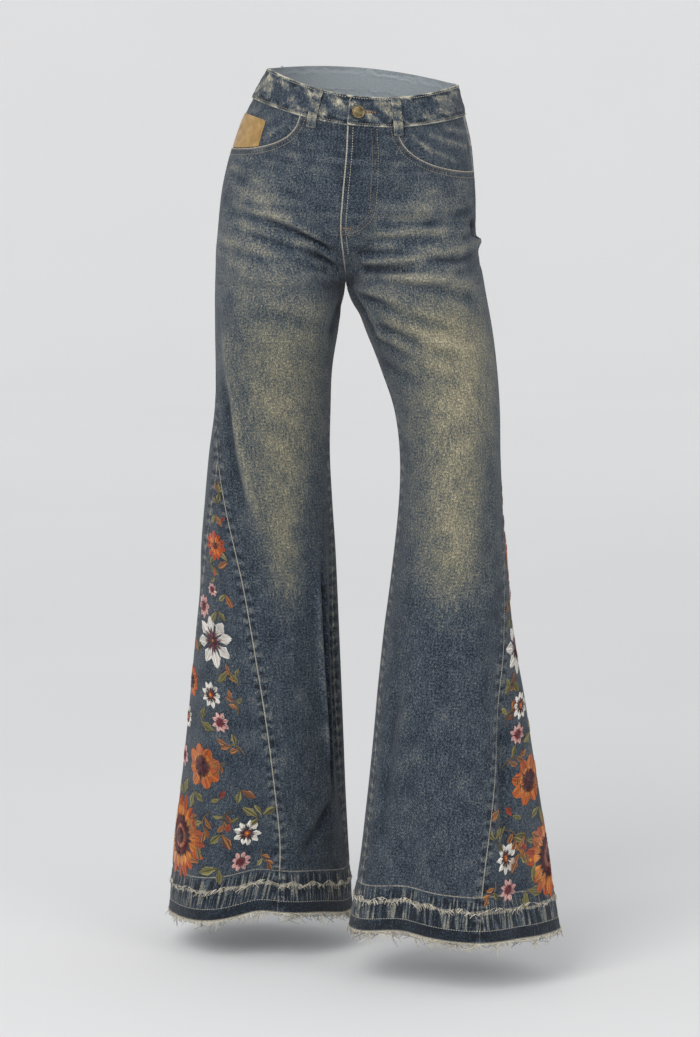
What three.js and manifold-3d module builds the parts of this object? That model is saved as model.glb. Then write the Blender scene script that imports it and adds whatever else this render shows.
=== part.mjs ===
// Flared jeans in the hollow form that they have in use, with a godet let into each outer seam.
// Millimetres, +Z up, front towards -Y, the left leg towards +X, origin in the middle of the waistband.
import * as THREE from "three";
import { mergeVertices } from "three/addons/utils/BufferGeometryUtils.js";
import Module from "manifold-3d";

const wasm = await Module();
wasm.setup();

// Driving dimensions
const wall = 1.4; // denim
const seamGap = 0.3; // between neighbouring pieces
const layerGap = 0.6; // between a piece and one that lies under it
const waistband = { height: 40, thick: 2.6, proud: 1.2, under: 0.16, rampFrom: 0.27, rampTo: 0.17 };
const crotchLevel = 250; // levels are measured down from the middle of the waistband
const crotchRise = 130; // height over which the centre seams curve out from the crotch
const apexLevel = 476; // where each godet starts
const godetStart = 4; // below the apex, where the godet is wide enough for a wall
const fly = { width: 0.185, bottom: 182, round: 38, raise: 1.5 };
const frontPocket = { top: 0.3, level: { right: 84, left: 93 }, squareness: 2.5, under: 8 };
const coinPocket = { from: 0.54, to: 0.965, top: 39, thick: 1.2 };
const yoke = { side: 58, centre: 82 }; // levels of its lower edge
const backPocket = { width: 124, height: 135, point: 20, taper: 8, tilt: 3, x: 72, level: 166, thick: 1.4 };
const loop = { width: 12, thick: 2, top: -19, bottom: 33, stand: 2.6, flat: 0.16 };
const button = { radius: 8.5, dome: 3.2, rim: 1.2, shank: 3.5, stand: 3, level: 2, past: 13 };
const fray = { strip: 2.4, thick: 1.1, strands: 60, length: 9, spread: 5, radius: 0.55 };
const hem = { fold: 41, foldRidge: 1.1, seam: 60, seamDip: 0.9, stitch: 17 }; // heights above the raw edge

// Hip sections: the ring's middle, half width, reach ahead and behind, the turn of the centre seams,
// the sideways slope, and how far its front dips and its back rises.
const hipRows = [
  { level: -20, middle: -3.0, half: 124.0, front: 92, back: 93, turn: 7.9, slope: 0.086, dip: 26, rise: 12 },
  { level: 20, middle: -8.5, half: 139.5, front: 98, back: 103, turn: 6.2, slope: 0.083, dip: 24, rise: 12 },
  { level: 60, middle: -13.5, half: 153.0, front: 103, back: 115, turn: 4.4, slope: 0.075, dip: 18, rise: 9 },
  { level: 125, middle: -20.5, half: 165.0, front: 106, back: 128, turn: 3.4, slope: 0.05, dip: 9, rise: 4 },
  { level: 180, middle: -23.5, half: 169.5, front: 106, back: 131, turn: 3.4, slope: 0.03, dip: 3, rise: 1 },
  { level: 250, middle: -20.5, half: 177.0, front: 102, back: 122, turn: 1.7, slope: 0, dip: 0, rise: 0 },
];

// Leg sections: where the ring ends on its inner and outer side, its middle and reach from front to back,
// and the angles of the inseam and of the godet's two seams, from the front towards the outer side.
const legRows = {
  right: [
    { level: 120, inner: -25.9, outer: -186.0, middle: 10, reach: 114, inseam: -90, front: 90, back: 90 },
    { level: 185, inner: -25.9, outer: -193.5, middle: 9, reach: 107, inseam: -90, front: 90, back: 90 },
    { level: 250, inner: -25.9, outer: -197.4, middle: 6, reach: 100, inseam: -90, front: 90, back: 90 },
    { level: 312, inner: -35.9, outer: -197.7, middle: 3, reach: 96, inseam: -88, front: 90, back: 90 },
    { level: 365, inner: -43.7, outer: -197.2, middle: 1, reach: 90, inseam: -86, front: 86, back: 86 },
    { level: 418, inner: -45.7, outer: -199.5, middle: 0, reach: 83, inseam: -83, front: 72, back: 72 },
    { level: 476, inner: -46.6, outer: -207.2, middle: 1, reach: 78, inseam: -79, front: 57, back: 57 },
    { level: 546, inner: -43.1, outer: -213.8, middle: 4, reach: 82, inseam: -76, front: 40, back: 62 },
    { level: 600, inner: -39.5, outer: -218.4, middle: 7, reach: 84, inseam: -74, front: 28, back: 67 },
    { level: 665, inner: -36.5, outer: -221.0, middle: 10, reach: 88, inseam: -74, front: 18, back: 75 },
    { level: 770, inner: -32.2, outer: -233.0, middle: 16, reach: 97, inseam: -74, front: 4, back: 85 },
    { level: 858, inner: -28.8, outer: -243.0, middle: 20, reach: 103, inseam: -75, front: -5, back: 94 },
    { level: 936, inner: -25.9, outer: -252.0, middle: 24, reach: 109, inseam: -76, front: -11, back: 102 },
    { level: 1000, inner: -22.6, outer: -259.8, middle: 27, reach: 112, inseam: -78, front: -14, back: 109 },
    { level: 1097, inner: -16.6, outer: -267.6, middle: 30, reach: 115, inseam: -82, front: -12, back: 127 },
  ],
  left: [
    { level: 120, inner: -25.5, outer: 144.5, middle: 10, reach: 114, inseam: -90, front: 90, back: 90 },
    { level: 185, inner: -25.5, outer: 147.0, middle: 9, reach: 107, inseam: -90, front: 90, back: 90 },
    { level: 250, inner: -25.5, outer: 156.5, middle: 6, reach: 100, inseam: -90, front: 90, back: 90 },
    { level: 312, inner: 1.1, outer: 167.5, middle: -2, reach: 96, inseam: -86, front: 90, back: 90 },
    { level: 364, inner: 21.3, outer: 173.6, middle: -12, reach: 92, inseam: -80, front: 91, back: 91 },
    { level: 416, inner: 38.5, outer: 176.9, middle: -24, reach: 90, inseam: -77, front: 92, back: 92 },
    { level: 476, inner: 45.6, outer: 177.4, middle: -40, reach: 90, inseam: -76, front: 92, back: 92 },
    { level: 540, inner: 43.6, outer: 180.2, middle: -57, reach: 95, inseam: -76, front: 81, back: 102 },
    { level: 633, inner: 33.1, outer: 187.4, middle: -80, reach: 98, inseam: -76, front: 66, back: 114 },
    { level: 700, inner: 24.0, outer: 192.7, middle: -95, reach: 102, inseam: -76, front: 57, back: 121 },
    { level: 775, inner: 16.0, outer: 205.5, middle: -108, reach: 103, inseam: -76, front: 43, back: 125 },
    { level: 843, inner: 9.8, outer: 215.0, middle: -118, reach: 105, inseam: -75, front: 34, back: 128 },
    { level: 920, inner: 1.7, outer: 226.6, middle: -130, reach: 107, inseam: -75, front: 24, back: 132 },
    { level: 1000, inner: -8.0, outer: 238.0, middle: -141, reach: 107, inseam: -74, front: 16, back: 138 },
    { level: 1079, inner: -21.8, outer: 252.8, middle: -150, reach: 102, inseam: -74, front: 12, back: 146 },
  ],
};
const hemLevel = { right: 1097, left: 1079 };

// Large folds that run down the cloth: angle at the top end, drift by the lower end, half width in degrees,
// the levels that they fade in and out at, and how far they stand out of the ring.
const foldRows = {
  right: [
    { angle: 52, drift: -64, width: 13, from: 300, to: 690, rise: 4 },
    { angle: -52, drift: -6, width: 9, from: 560, to: 1010, rise: 6 },
    { angle: -67, drift: -2, width: 8, from: 570, to: 1000, rise: -9 },
    { angle: 6, drift: -6, width: 14, from: 800, to: 1240, rise: -17 },
    { angle: 40, drift: 0, width: 16, from: 760, to: 1240, rise: 5 },
    { angle: 95, drift: 6, width: 15, from: 700, to: 1240, rise: -7 },
    { angle: 150, drift: 6, width: 17, from: 640, to: 1240, rise: 9 },
    { angle: 188, drift: 8, width: 15, from: 620, to: 1240, rise: -12 },
    { angle: 228, drift: 6, width: 16, from: 660, to: 1240, rise: 8 },
    { angle: 178, drift: 10, width: 22, from: 250, to: 520, rise: -4 },
  ],
  left: [
    { angle: -36, drift: 0, width: 18, from: 820, to: 1230, rise: -14 },
    { angle: 16, drift: -4, width: 12, from: 780, to: 1230, rise: 6 },
    { angle: 44, drift: -6, width: 9, from: 640, to: 1150, rise: -8 },
    { angle: 72, drift: 4, width: 12, from: 640, to: 1230, rise: 5 },
    { angle: 112, drift: 6, width: 14, from: 700, to: 1230, rise: -8 },
    { angle: 152, drift: 6, width: 16, from: 640, to: 1230, rise: 9 },
    { angle: 190, drift: 6, width: 15, from: 620, to: 1230, rise: -12 },
    { angle: 232, drift: 4, width: 16, from: 660, to: 1230, rise: 8 },
    { angle: 182, drift: -8, width: 22, from: 250, to: 520, rise: -4 },
  ],
};

// Folds that the cloth is dragged into around the crotch and hips: the middle of each, in around and level,
// half length in around, how much it slopes, half height and how far it stands out.
const dragRows = {
  right: [
    { around: 0.36, level: 218, length: 0.26, slope: -120, height: 9, rise: -4.5 },
    { around: 0.62, level: 232, length: 0.3, slope: -60, height: 16, rise: 3 },
    { around: 0.1, level: 262, length: 0.2, slope: -140, height: 14, rise: -2.5 },
    { around: 2.6, level: 262, length: 0.4, slope: 60, height: 14, rise: -5 },
    { around: 2.5, level: 292, length: 0.35, slope: 50, height: 16, rise: 3 },
  ],
  left: [
    { around: 0.98, level: 189, length: 0.16, slope: 60, height: 8, rise: 6 },
    { around: 0.95, level: 174, length: 0.14, slope: 40, height: 7, rise: -4 },
    { around: 0.85, level: 226, length: 0.3, slope: -70, height: 10, rise: -3.5 },
    { around: 0.34, level: 226, length: 0.3, slope: -50, height: 11, rise: -4 },
    { around: 0.4, level: 250, length: 0.3, slope: -60, height: 13, rise: 3.5 },
    { around: 0.2, level: 275, length: 0.25, slope: -90, height: 13, rise: -3 },
    { around: 2.6, level: 262, length: 0.4, slope: 60, height: 14, rise: -5 },
    { around: 2.5, level: 292, length: 0.35, slope: 50, height: 16, rise: 3 },
  ],
};

// Stretches of the hem that are lifted: middle angle, half width in degrees, lift.
const hemLiftRows = {
  right: [
    { angle: -4, width: 26, lift: 16 },
    { angle: -40, width: 22, lift: 9 },
  ],
  left: [{ angle: -34, width: 26, lift: 9 }],
};

const radians = (degrees) => (degrees * Math.PI) / 180;
const clamp = (x, low = 0, high = 1) => Math.min(high, Math.max(low, x));
const smooth = (x) => clamp(x) ** 2 * (3 - 2 * clamp(x));
const mix = (a, b, t) => a + (b - a) * t;
const bell = (x) => Math.exp(-x * x);

// A smooth curve through one column of a table, as a function of the level.
function column(rows, key) {
  const slopes = rows.map((row, i) => {
    const before = rows[Math.max(0, i - 1)];
    const after = rows[Math.min(rows.length - 1, i + 1)];
    return (after[key] - before[key]) / (after.level - before.level);
  });
  return (level) => {
    const x = clamp(level, rows[0].level, rows[rows.length - 1].level);
    const i = clamp(rows.findIndex((row) => row.level >= x) - 1, 0, rows.length - 2);
    const span = rows[i + 1].level - rows[i].level;
    const t = (x - rows[i].level) / span;
    const kept = (1 + 2 * t) * (1 - t) ** 2 * rows[i][key] + t * t * (3 - 2 * t) * rows[i + 1][key];
    const leant = t * (1 - t) ** 2 * slopes[i] - t * t * (1 - t) * slopes[i + 1];
    return kept + span * leant;
  };
}

const columnsOf = (rows) =>
  Object.fromEntries(
    Object.keys(rows[0])
      .filter((key) => key !== "level")
      .map((key) => [key, column(rows, key)]),
  );
const hip = columnsOf(hipRows);
const leg = { right: columnsOf(legRows.right), left: columnsOf(legRows.left) };
const outwards = { right: -1, left: 1 };

// How far the folds move the cloth out at one angle and level.
function foldRise(side, angle, level) {
  return foldRows[side].reduce((sum, fold) => {
    const along = clamp((level - fold.from) / (fold.to - fold.from));
    const away = ((angle - fold.angle - fold.drift * along + 540) % 360) - 180;
    return sum + fold.rise * Math.sin(Math.PI * along) ** 1.2 * bell(away / fold.width);
  }, 0);
}

function dragRise(side, around, level) {
  return dragRows[side].reduce((sum, fold) => {
    const along = around - fold.around;
    const across = level - fold.level - fold.slope * along;
    return sum + fold.rise * bell(along / fold.length) * bell(across / fold.height);
  }, 0);
}

function hemLift(side, angle, level) {
  const lift = hemLiftRows[side].reduce((sum, row) => {
    const away = ((angle - row.angle + 540) % 360) - 180;
    return sum + row.lift * bell(away / row.width);
  }, 0);
  return lift * smooth((level - hemLevel[side] + 220) / 220);
}

// A point of the cloth's outer face. around goes from 0 at the centre front or inseam through 1 and 2,
// the godet's front and back seams, to 3 at the centre back or inseam.
function clothPoint(side, around, level) {
  const sign = outwards[side];
  const legAt = leg[side];
  const legLevel = Math.max(level, crotchLevel - crotchRise);
  const frontSeam = legAt.front(legLevel);
  const backSeam = Math.max(frontSeam, legAt.back(legLevel));
  const seams = [legAt.inseam(legLevel), frontSeam, backSeam, legAt.inseam(legLevel) + 360];
  const part = clamp(Math.floor(around), 0, 2);
  const angle = mix(seams[part], seams[part + 1], around - part);
  const inner = legAt.inner(Math.max(level, crotchLevel));
  const outer = legAt.outer(legLevel);
  const middle = (inner + outer) / 2;
  const half = Math.abs(outer - inner) / 2;
  const drag = dragRise(side, around, level);
  const rise = foldRise(side, angle, legLevel) + drag;
  const sine = Math.sin(radians(angle));
  const cosine = Math.cos(radians(angle));
  const point = new THREE.Vector3(
    middle + sign * (half + rise) * sine,
    legAt.middle(legLevel) - (legAt.reach(legLevel) + rise) * cosine,
    -level + hemLift(side, angle, level),
  );
  if (level >= crotchLevel) return point;
  const climb = clamp((crotchLevel - level) / crotchRise);
  const fromSeam = Math.min(around, 3 - around);
  const share = (climb * (2 - climb)) ** mix(0.5, 2, smooth(fromSeam / 0.35));
  const hipAngle = radians([0, 90, 90][part] + [90, 0, 90][part] * (around - part));
  const turned = -radians(hip.turn(level)) + sign * hipAngle;
  const forward = Math.cos(turned);
  const reach = forward > 0 ? hip.front(level) : hip.back(level);
  const x = mix(point.x, hip.middle(level) + (hip.half(level) + drag) * Math.sin(turned), share);
  const y = mix(point.y, -(reach + drag) * forward, share);
  const tip = forward > 0 ? -hip.dip(level) : hip.rise(level);
  return new THREE.Vector3(x, y, -level - hip.slope(level) * x + tip * forward ** 2);
}

const panelSpan = { front: [0, 1], godet: [1, 2], back: [2, 3] };
const even = (count) => Array.from({ length: count + 1 }, (_, i) => i / count);

// Where each panel's columns of points lie across its width.
const panelShares = {
  front: [0, 0.06, 0.13, 0.165, 0.19, 0.25, 0.3, 0.31, 0.33, 0.37, 0.44, 0.54, 0.65, 0.76, 0.86, 0.94, 1],
  godet: even(10),
  back: even(14),
};

// The point a little way along the ring, across the seam into the next panel where one ends.
function neighbour(side, around, step, level) {
  const other = side === "left" ? "right" : "left";
  const next = around + step;
  if (level < apexLevel && around <= 1 && next > 1) return clothPoint(side, next + 1, level);
  if (level < apexLevel && around >= 2 && next < 2) return clothPoint(side, next - 1, level);
  if (next < 0 && level < crotchLevel) return clothPoint(other, -next, level);
  if (next > 3 && level < crotchLevel) return clothPoint(other, 6 - next, level);
  return clothPoint(side, (next + 3) % 3, level);
}

// The outward normal, from points close by.
function clothNormal(side, around, level) {
  const nearby = 0.012;
  const alongRing = neighbour(side, around, nearby, level).sub(neighbour(side, around, -nearby, level));
  const floor = level >= crotchLevel ? crotchLevel : -100;
  const ceiling = level < crotchLevel ? crotchLevel - 0.01 : 2000;
  const down = clothPoint(side, around, Math.min(ceiling, level + 2)).sub(
    clothPoint(side, around, Math.max(floor, level - 2)),
  );
  return alongRing.cross(down).multiplyScalar(-outwards[side]).normalize();
}

function moved(side, around, level, out) {
  return clothPoint(side, around, level).addScaledVector(clothNormal(side, around, level), out);
}

// The share of a panel's width that half a seam gap takes up at one level.
function gapShare(side, panel, level) {
  const [low] = panelSpan[panel];
  const nearby = 0.02;
  const length = clothPoint(side, low, level).distanceTo(clothPoint(side, low + nearby, level));
  return (seamGap / 2 / Math.max(length, 0.01)) * nearby;
}

// A closed shell from two equal grids of points.
function shellOf(outer, inner) {
  const rows = outer.length;
  const columns = outer[0].length;
  const positions = [outer, inner].flatMap((grid) => grid.flatMap((row) => row.flatMap((p) => p.toArray())));
  const at = (face, row, col) => face * rows * columns + row * columns + col;
  const triangles = [];
  const quad = (a, b, c, d) => triangles.push(a, b, c, a, c, d);
  for (let r = 0; r < rows - 1; r++) {
    for (let c = 0; c < columns - 1; c++) {
      quad(at(0, r, c), at(0, r + 1, c), at(0, r + 1, c + 1), at(0, r, c + 1));
      quad(at(1, r, c), at(1, r, c + 1), at(1, r + 1, c + 1), at(1, r + 1, c));
    }
    quad(at(0, r, 0), at(1, r, 0), at(1, r + 1, 0), at(0, r + 1, 0));
    quad(at(0, r, columns - 1), at(0, r + 1, columns - 1), at(1, r + 1, columns - 1), at(1, r, columns - 1));
  }
  for (let c = 0; c < columns - 1; c++) {
    quad(at(0, 0, c), at(0, 0, c + 1), at(1, 0, c + 1), at(1, 0, c));
    quad(at(0, rows - 1, c), at(1, rows - 1, c), at(1, rows - 1, c + 1), at(0, rows - 1, c + 1));
  }
  return facingOut(positions, triangles);
}

function facingOut(positions, triangles) {
  const corner = (i) => new THREE.Vector3().fromArray(positions, 3 * i);
  let volume = 0;
  for (let i = 0; i < triangles.length; i += 3) {
    volume += corner(triangles[i]).dot(corner(triangles[i + 1]).cross(corner(triangles[i + 2])));
  }
  if (volume < 0) triangles.reverse();
  const geometry = new THREE.BufferGeometry();
  geometry.setAttribute("position", new THREE.Float32BufferAttribute(positions, 3));
  geometry.setIndex(triangles);
  return geometry;
}

function solidOf(geometry) {
  const bare = new THREE.BufferGeometry().setAttribute("position", geometry.getAttribute("position").clone());
  if (geometry.index) bare.setIndex(geometry.index.clone());
  const merged = mergeVertices(bare, 1e-4);
  return new wasm.Manifold(
    new wasm.Mesh({
      numProp: 3,
      vertProperties: new Float32Array(merged.attributes.position.array),
      triVerts: new Uint32Array(merged.index.array),
    }),
  );
}

function geometryOf(solid) {
  const mesh = solid.getMesh();
  const geometry = new THREE.BufferGeometry();
  geometry.setAttribute("position", new THREE.BufferAttribute(new Float32Array(mesh.vertProperties), 3));
  geometry.setIndex(new THREE.BufferAttribute(new Uint32Array(mesh.triVerts), 1));
  return geometry;
}

// Levels of the rows that every panel of one side shares.
function sharedLevels(side) {
  const end = hemLevel[side];
  const curve = 9;
  const crotch = Array.from({ length: curve + 1 }, (_, i) => {
    return crotchLevel - crotchRise * (1 - Math.cos(((curve - i) / curve) * (Math.PI / 2)));
  });
  const lower = [
    264, 284, 312, 346, 384, 420, 452, apexLevel, 520, 566, 616, 668, 722, 776, 830, 884, 938, 980,
  ];
  const heights = [hem.seam + 8, hem.seam, hem.fold + 8, hem.fold, hem.fold - 8, hem.stitch, 0];
  const band = heights.map((up) => end - up);
  return [...crotch, ...lower, ...band];
}

const sharedRows = (side) => sharedLevels(side).map((level) => () => level);

// The hem's old fold stands out as a soft ridge, and the row of stitches above it sinks in.
function hemRelief(side, level) {
  const fromEnd = hemLevel[side] - level;
  return hem.foldRidge * bell((fromEnd - hem.fold) / 4) - hem.seamDip * bell((fromEnd - hem.seam) / 4);
}

// The level where the front pocket's curved opening crosses one column of the front panel.
function pocketLevel(side, around) {
  const { top, level, squareness } = frontPocket;
  const across = clamp((1 - around) / (1 - top));
  return mix(waistband.height / 2, level[side], (1 - across ** squareness) ** (1 / squareness));
}

// The fly stands out on the left front, down to its rounded J.
function flyRaise(side, around, level) {
  if (side === "right" || level > fly.bottom) return 0;
  const down = clamp((level - fly.bottom + fly.round) / fly.round);
  const edge = fly.width * Math.sqrt(1 - down ** 2);
  return fly.raise * smooth((edge - around) / 0.025);
}

// The upper rows of a panel run from its own top edge to the first row that all panels share.
const upperRows = (count, topEdge) =>
  Array.from({ length: count }, (_, i) => (around) => mix(topEdge(around), crotchLevel - crotchRise, i / count));

function frontPanel(side) {
  const rows = [...upperRows(4, (around) => pocketLevel(side, around) + seamGap), ...sharedRows(side)];
  const pointOf = (depth) =>
    rows.map((levelAt) =>
      panelShares.front.map((share) => {
        const level = levelAt(share);
        const gap = gapShare(side, "front", level);
        const around = clamp(share, gap, 1 - gap);
        const out = depth === 0 ? flyRaise(side, around, level) + hemRelief(side, level) : -depth;
        return moved(side, around, level, out);
      }),
    );
  return shellOf(pointOf(0), pointOf(wall));
}

function yokeEdge(around) {
  return mix(yoke.side, yoke.centre, around - 2);
}

function backPoints(side, rows, out) {
  return rows.map((levelAt) =>
    panelShares.back.map((share) => {
      const level = levelAt(2 + share);
      const gap = gapShare(side, "back", Math.max(level, 30));
      return moved(side, 2 + clamp(share, gap, 1 - gap), level, out + (out === 0 ? hemRelief(side, level) : 0));
    }),
  );
}

const backRows = (side) => [...upperRows(2, (around) => yokeEdge(around) + seamGap), ...sharedRows(side)];

function backPanel(side) {
  return shellOf(backPoints(side, backRows(side), 0), backPoints(side, backRows(side), -wall));
}

function yokePanel(side) {
  const top = waistband.height / 2 + seamGap;
  const pointOf = (out) =>
    [0, 0.5, 1].map((down) =>
      panelShares.back.map((share) => {
        const gap = gapShare(side, "back", 30);
        const around = 2 + clamp(share, gap, 1 - gap);
        return moved(side, around, mix(top, yokeEdge(around), down), out);
      }),
    );
  return shellOf(pointOf(0), pointOf(-wall));
}

function godetPanel(side) {
  const levels = [apexLevel + godetStart, ...sharedLevels(side).filter((level) => level > apexLevel + 30)];
  const pointOf = (depth) =>
    levels.map((level) => {
      const gap = gapShare(side, "godet", level);
      return panelShares.godet.map((share) => {
        const around = 1 + mix(gap, 1 - gap, share);
        return moved(side, around, level, depth === 0 ? hemRelief(side, level) : -depth);
      });
    });
  return shellOf(pointOf(0), pointOf(wall));
}

// The cloth that shows inside the front pocket's opening, one layer below the front panel.
const facingDepth = wall + layerGap;
const facingShares = panelShares.front.filter((share) => share >= frontPocket.top && share < 0.96);
facingShares.push(coinPocket.to);

function pocketFacing(side) {
  const top = waistband.height / 2 + seamGap;
  const steps = [0, 0.25, 0.5, 0.75, 1];
  const pointOf = (out) =>
    steps.map((down) =>
      facingShares.map((around) => {
        const bottom = pocketLevel(side, around) + frontPocket.under;
        return moved(side, around, mix(top, bottom, down), out);
      }),
    );
  return shellOf(pointOf(-facingDepth), pointOf(-facingDepth - wall));
}

function coinPocketPanel() {
  const shares = facingShares.filter((share) => share >= coinPocket.from);
  const pointOf = (out) =>
    [0, 0.33, 0.66, 1].map((down) =>
      shares.map((around) => {
        const bottom = pocketLevel("right", around) - 3 * seamGap;
        return moved("right", around, mix(coinPocket.top, bottom, down), out);
      }),
    );
  const base = -facingDepth + layerGap;
  return shellOf(pointOf(base + coinPocket.thick), pointOf(base));
}

// The waistband is one strip. Its right end runs under its left end, which lies on top at the centre front.
function waistbandStrip() {
  const steps = 13;
  const run = (side, from, to, lift = () => 0) =>
    Array.from({ length: steps }, (_, i) => {
      const around = mix(from, to, i / steps);
      return { side, around, lift: lift(around) };
    });
  const over = (around) =>
    (waistband.thick + layerGap) *
    smooth((waistband.rampFrom - around) / (waistband.rampFrom - waistband.rampTo));
  const stations = [
    { side: "left", around: waistband.under, lift: 0 },
    { side: "left", around: waistband.under / 2, lift: 0 },
    ...run("right", 0, 1),
    ...run("right", 2, 3),
    ...run("left", 3, 2),
    ...run("left", 1, 0, over),
    { side: "left", around: 0, lift: over(0) },
  ];
  const halfHeight = waistband.height / 2;
  const pointOf = (out) =>
    [-halfHeight, 0, halfHeight].map((level) =>
      stations.map(({ side, around, lift }) => {
        return moved(side, around, level, out + lift);
      }),
    );
  return shellOf(pointOf(waistband.proud), pointOf(waistband.proud - waistband.thick));
}

// A belt loop stands off the waistband between its two sewn ends.
function beltLoop({ side, around, lift }) {
  const steps = 8;
  const centres = [];
  const normals = [];
  for (let i = 0; i <= steps; i++) {
    const down = i / steps;
    const level = mix(loop.top, loop.bottom, down);
    const rise = loop.stand * smooth(Math.min(down, 1 - down) / loop.flat - 0.4);
    const normal = clothNormal(side, around, level);
    const out = waistband.proud + layerGap + lift + rise;
    centres.push(clothPoint(side, around, level).addScaledVector(normal, out));
    normals.push(normal);
  }
  const down = centres[steps].clone().sub(centres[0]);
  const sideways = new THREE.Vector3().crossVectors(normals[4], down).normalize();
  const pointOf = (out) =>
    centres.map((centre, i) =>
      [-0.5, 0.5].map((across) => {
        const point = centre.clone().addScaledVector(sideways, across * loop.width);
        return point.addScaledVector(normals[i], out);
      }),
    );
  return shellOf(pointOf(loop.thick), pointOf(0));
}

// A patch pocket: the back panel's own points moved out, trimmed by a prism of the pocket's outline.
function backPocketPanel(side) {
  const sign = outwards[side];
  const rows = backRows(side).filter((levelAt) => levelAt(2.5) < crotchLevel + 60);
  const slab = solidOf(
    shellOf(
      backPoints(side, rows, layerGap / 2 + backPocket.thick),
      backPoints(side, rows, layerGap / 2),
    ),
  );
  const halfWidth = backPocket.width / 2;
  const foot = -backPocket.height / 2;
  const outline = new THREE.Shape();
  outline.moveTo(-halfWidth, -foot);
  outline.lineTo(-halfWidth + backPocket.taper, foot + backPocket.point);
  outline.lineTo(0, foot);
  outline.lineTo(halfWidth - backPocket.taper, foot + backPocket.point);
  outline.lineTo(halfWidth, -foot);
  outline.closePath();
  const depth = 160;
  const prism = new THREE.ExtrudeGeometry(outline, { depth, bevelEnabled: false });
  const placed = new THREE.Matrix4()
    .makeTranslation(hip.middle(backPocket.level) + sign * backPocket.x, depth + 20, -backPocket.level + 60)
    .multiply(new THREE.Matrix4().makeRotationY(radians(sign * backPocket.tilt)))
    .multiply(new THREE.Matrix4().makeRotationX(radians(90)));
  return geometryOf(slab.intersect(solidOf(prism.applyMatrix4(placed))));
}

function buttonSolid() {
  const { radius, dome, rim, shank, stand } = button;
  const profile = [
    [0, 0],
    [shank, 0],
    [shank, stand],
    [radius - 0.8, stand],
    [radius, stand + rim / 2],
    [radius - 0.3, stand + rim],
    [radius - 1.6, stand + rim],
    [radius - 2.2, stand + rim - 0.4],
    [radius * 0.5, stand + dome - 0.9],
    [0, stand + dome - 0.6],
  ].map(([r, z]) => new THREE.Vector2(r, z));
  const geometry = new THREE.LatheGeometry(profile, 16);
  geometry.rotateX(Math.PI / 2);
  return geometry;
}

// The frayed edge below the raw hem: a narrow ring with short strands of thread fused into it.
function frayedEdge(side) {
  const end = hemLevel[side];
  const stations = Object.keys(panelShares).flatMap((panel) =>
    panelShares[panel].slice(0, -1).map((share) => panelSpan[panel][0] + share),
  );
  stations.push(0);
  const drop = new THREE.Vector3(0, 0, -1);
  const ringPoint = (around, out, below) => moved(side, around, end, out).addScaledVector(drop, below);
  const pointOf = (out) =>
    [seamGap, seamGap + fray.strip].map((below) => stations.map((around) => ringPoint(around, out, below)));
  const strip = (wall - fray.thick) / 2;
  let edge = solidOf(openRing(pointOf(-strip), pointOf(-strip - fray.thick)));
  for (let i = 0; i < fray.strands; i++) {
    const along = ((i + 0.3 * Math.sin(i * 7.1)) / fray.strands + 1) % 1;
    const place = along * (stations.length - 1);
    const station = stations[Math.floor(place)];
    const next = stations[Math.floor(place) + 1];
    const root = ringPoint(station, -wall / 2, seamGap + fray.strip * 0.4);
    root.lerp(ringPoint(next, -wall / 2, seamGap + fray.strip * 0.4), place % 1);
    const sweep = clothNormal(side, station, end).multiplyScalar(Math.sin(i * 3.7));
    sweep.add(new THREE.Vector3(Math.sin(i * 2.3), Math.cos(i * 2.9), 0).multiplyScalar(0.6));
    const length = fray.length * (0.75 + 0.35 * Math.sin(i * 5.3));
    const tip = root.clone().addScaledVector(drop, length).addScaledVector(sweep, fray.spread * 0.5);
    edge = edge.add(solidOf(strand(root, tip)));
  }
  return geometryOf(edge);
}

// A ring that closes on itself, from grids whose last column repeats the first.
function openRing(outer, inner) {
  const columns = outer[0].length - 1;
  const loops = [outer[0], outer[1], inner[1], inner[0]];
  const positions = loops.flatMap((row) => row.slice(0, columns).flatMap((p) => p.toArray()));
  const triangles = [];
  loops.forEach((_, i) => {
    const next = (i + 1) % loops.length;
    for (let c = 0; c < columns; c++) {
      const d = (c + 1) % columns;
      const [a, b] = [i * columns + c, next * columns + c];
      const [e, f] = [next * columns + d, i * columns + d];
      triangles.push(a, b, e, a, e, f);
    }
  });
  return facingOut(positions, triangles);
}

function strand(root, tip) {
  const path = tip.clone().sub(root);
  const geometry = new THREE.CylinderGeometry(fray.radius, fray.radius * 0.4, path.length(), 3, 1);
  const turn = new THREE.Quaternion().setFromUnitVectors(new THREE.Vector3(0, -1, 0), path.clone().normalize());
  const middle = root.clone().lerp(tip, 0.5);
  return geometry.applyQuaternion(turn).translate(middle.x, middle.y, middle.z);
}

// Materials
const finish = (color, roughness, metalness = 0) =>
  new THREE.MeshStandardMaterial({ color, roughness, metalness });
const materials = {
  denim: finish(0x4a5a66, 0.92),
  godetDenim: finish(0x3f5260, 0.92),
  innerDenim: finish(0x34465a, 0.92),
  suede: finish(0xa87f4a, 0.95),
  brass: finish(0x7d6a45, 0.45, 0.9),
  thread: finish(0xd8cdb8, 0.9),
};

const jeans = new THREE.Group();
function add(name, geometry, material) {
  const mesh = new THREE.Mesh(geometry, material);
  mesh.name = name;
  jeans.add(mesh);
  return mesh;
}

add("waistband", waistbandStrip(), materials.denim);
for (const side of ["right", "left"]) {
  add(`${side}_front`, frontPanel(side), materials.denim);
  add(`${side}_back`, backPanel(side), materials.denim);
  add(`${side}_yoke`, yokePanel(side), materials.denim);
  add(`${side}_godet`, godetPanel(side), materials.godetDenim);
  add(`${side}_pocket_facing`, pocketFacing(side), materials.innerDenim);
  add(`${side}_back_pocket`, backPocketPanel(side), materials.denim);
  add(`${side}_hem_fray`, frayedEdge(side), materials.thread);
}
add("right_coin_pocket", coinPocketPanel(), materials.suede);

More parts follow.
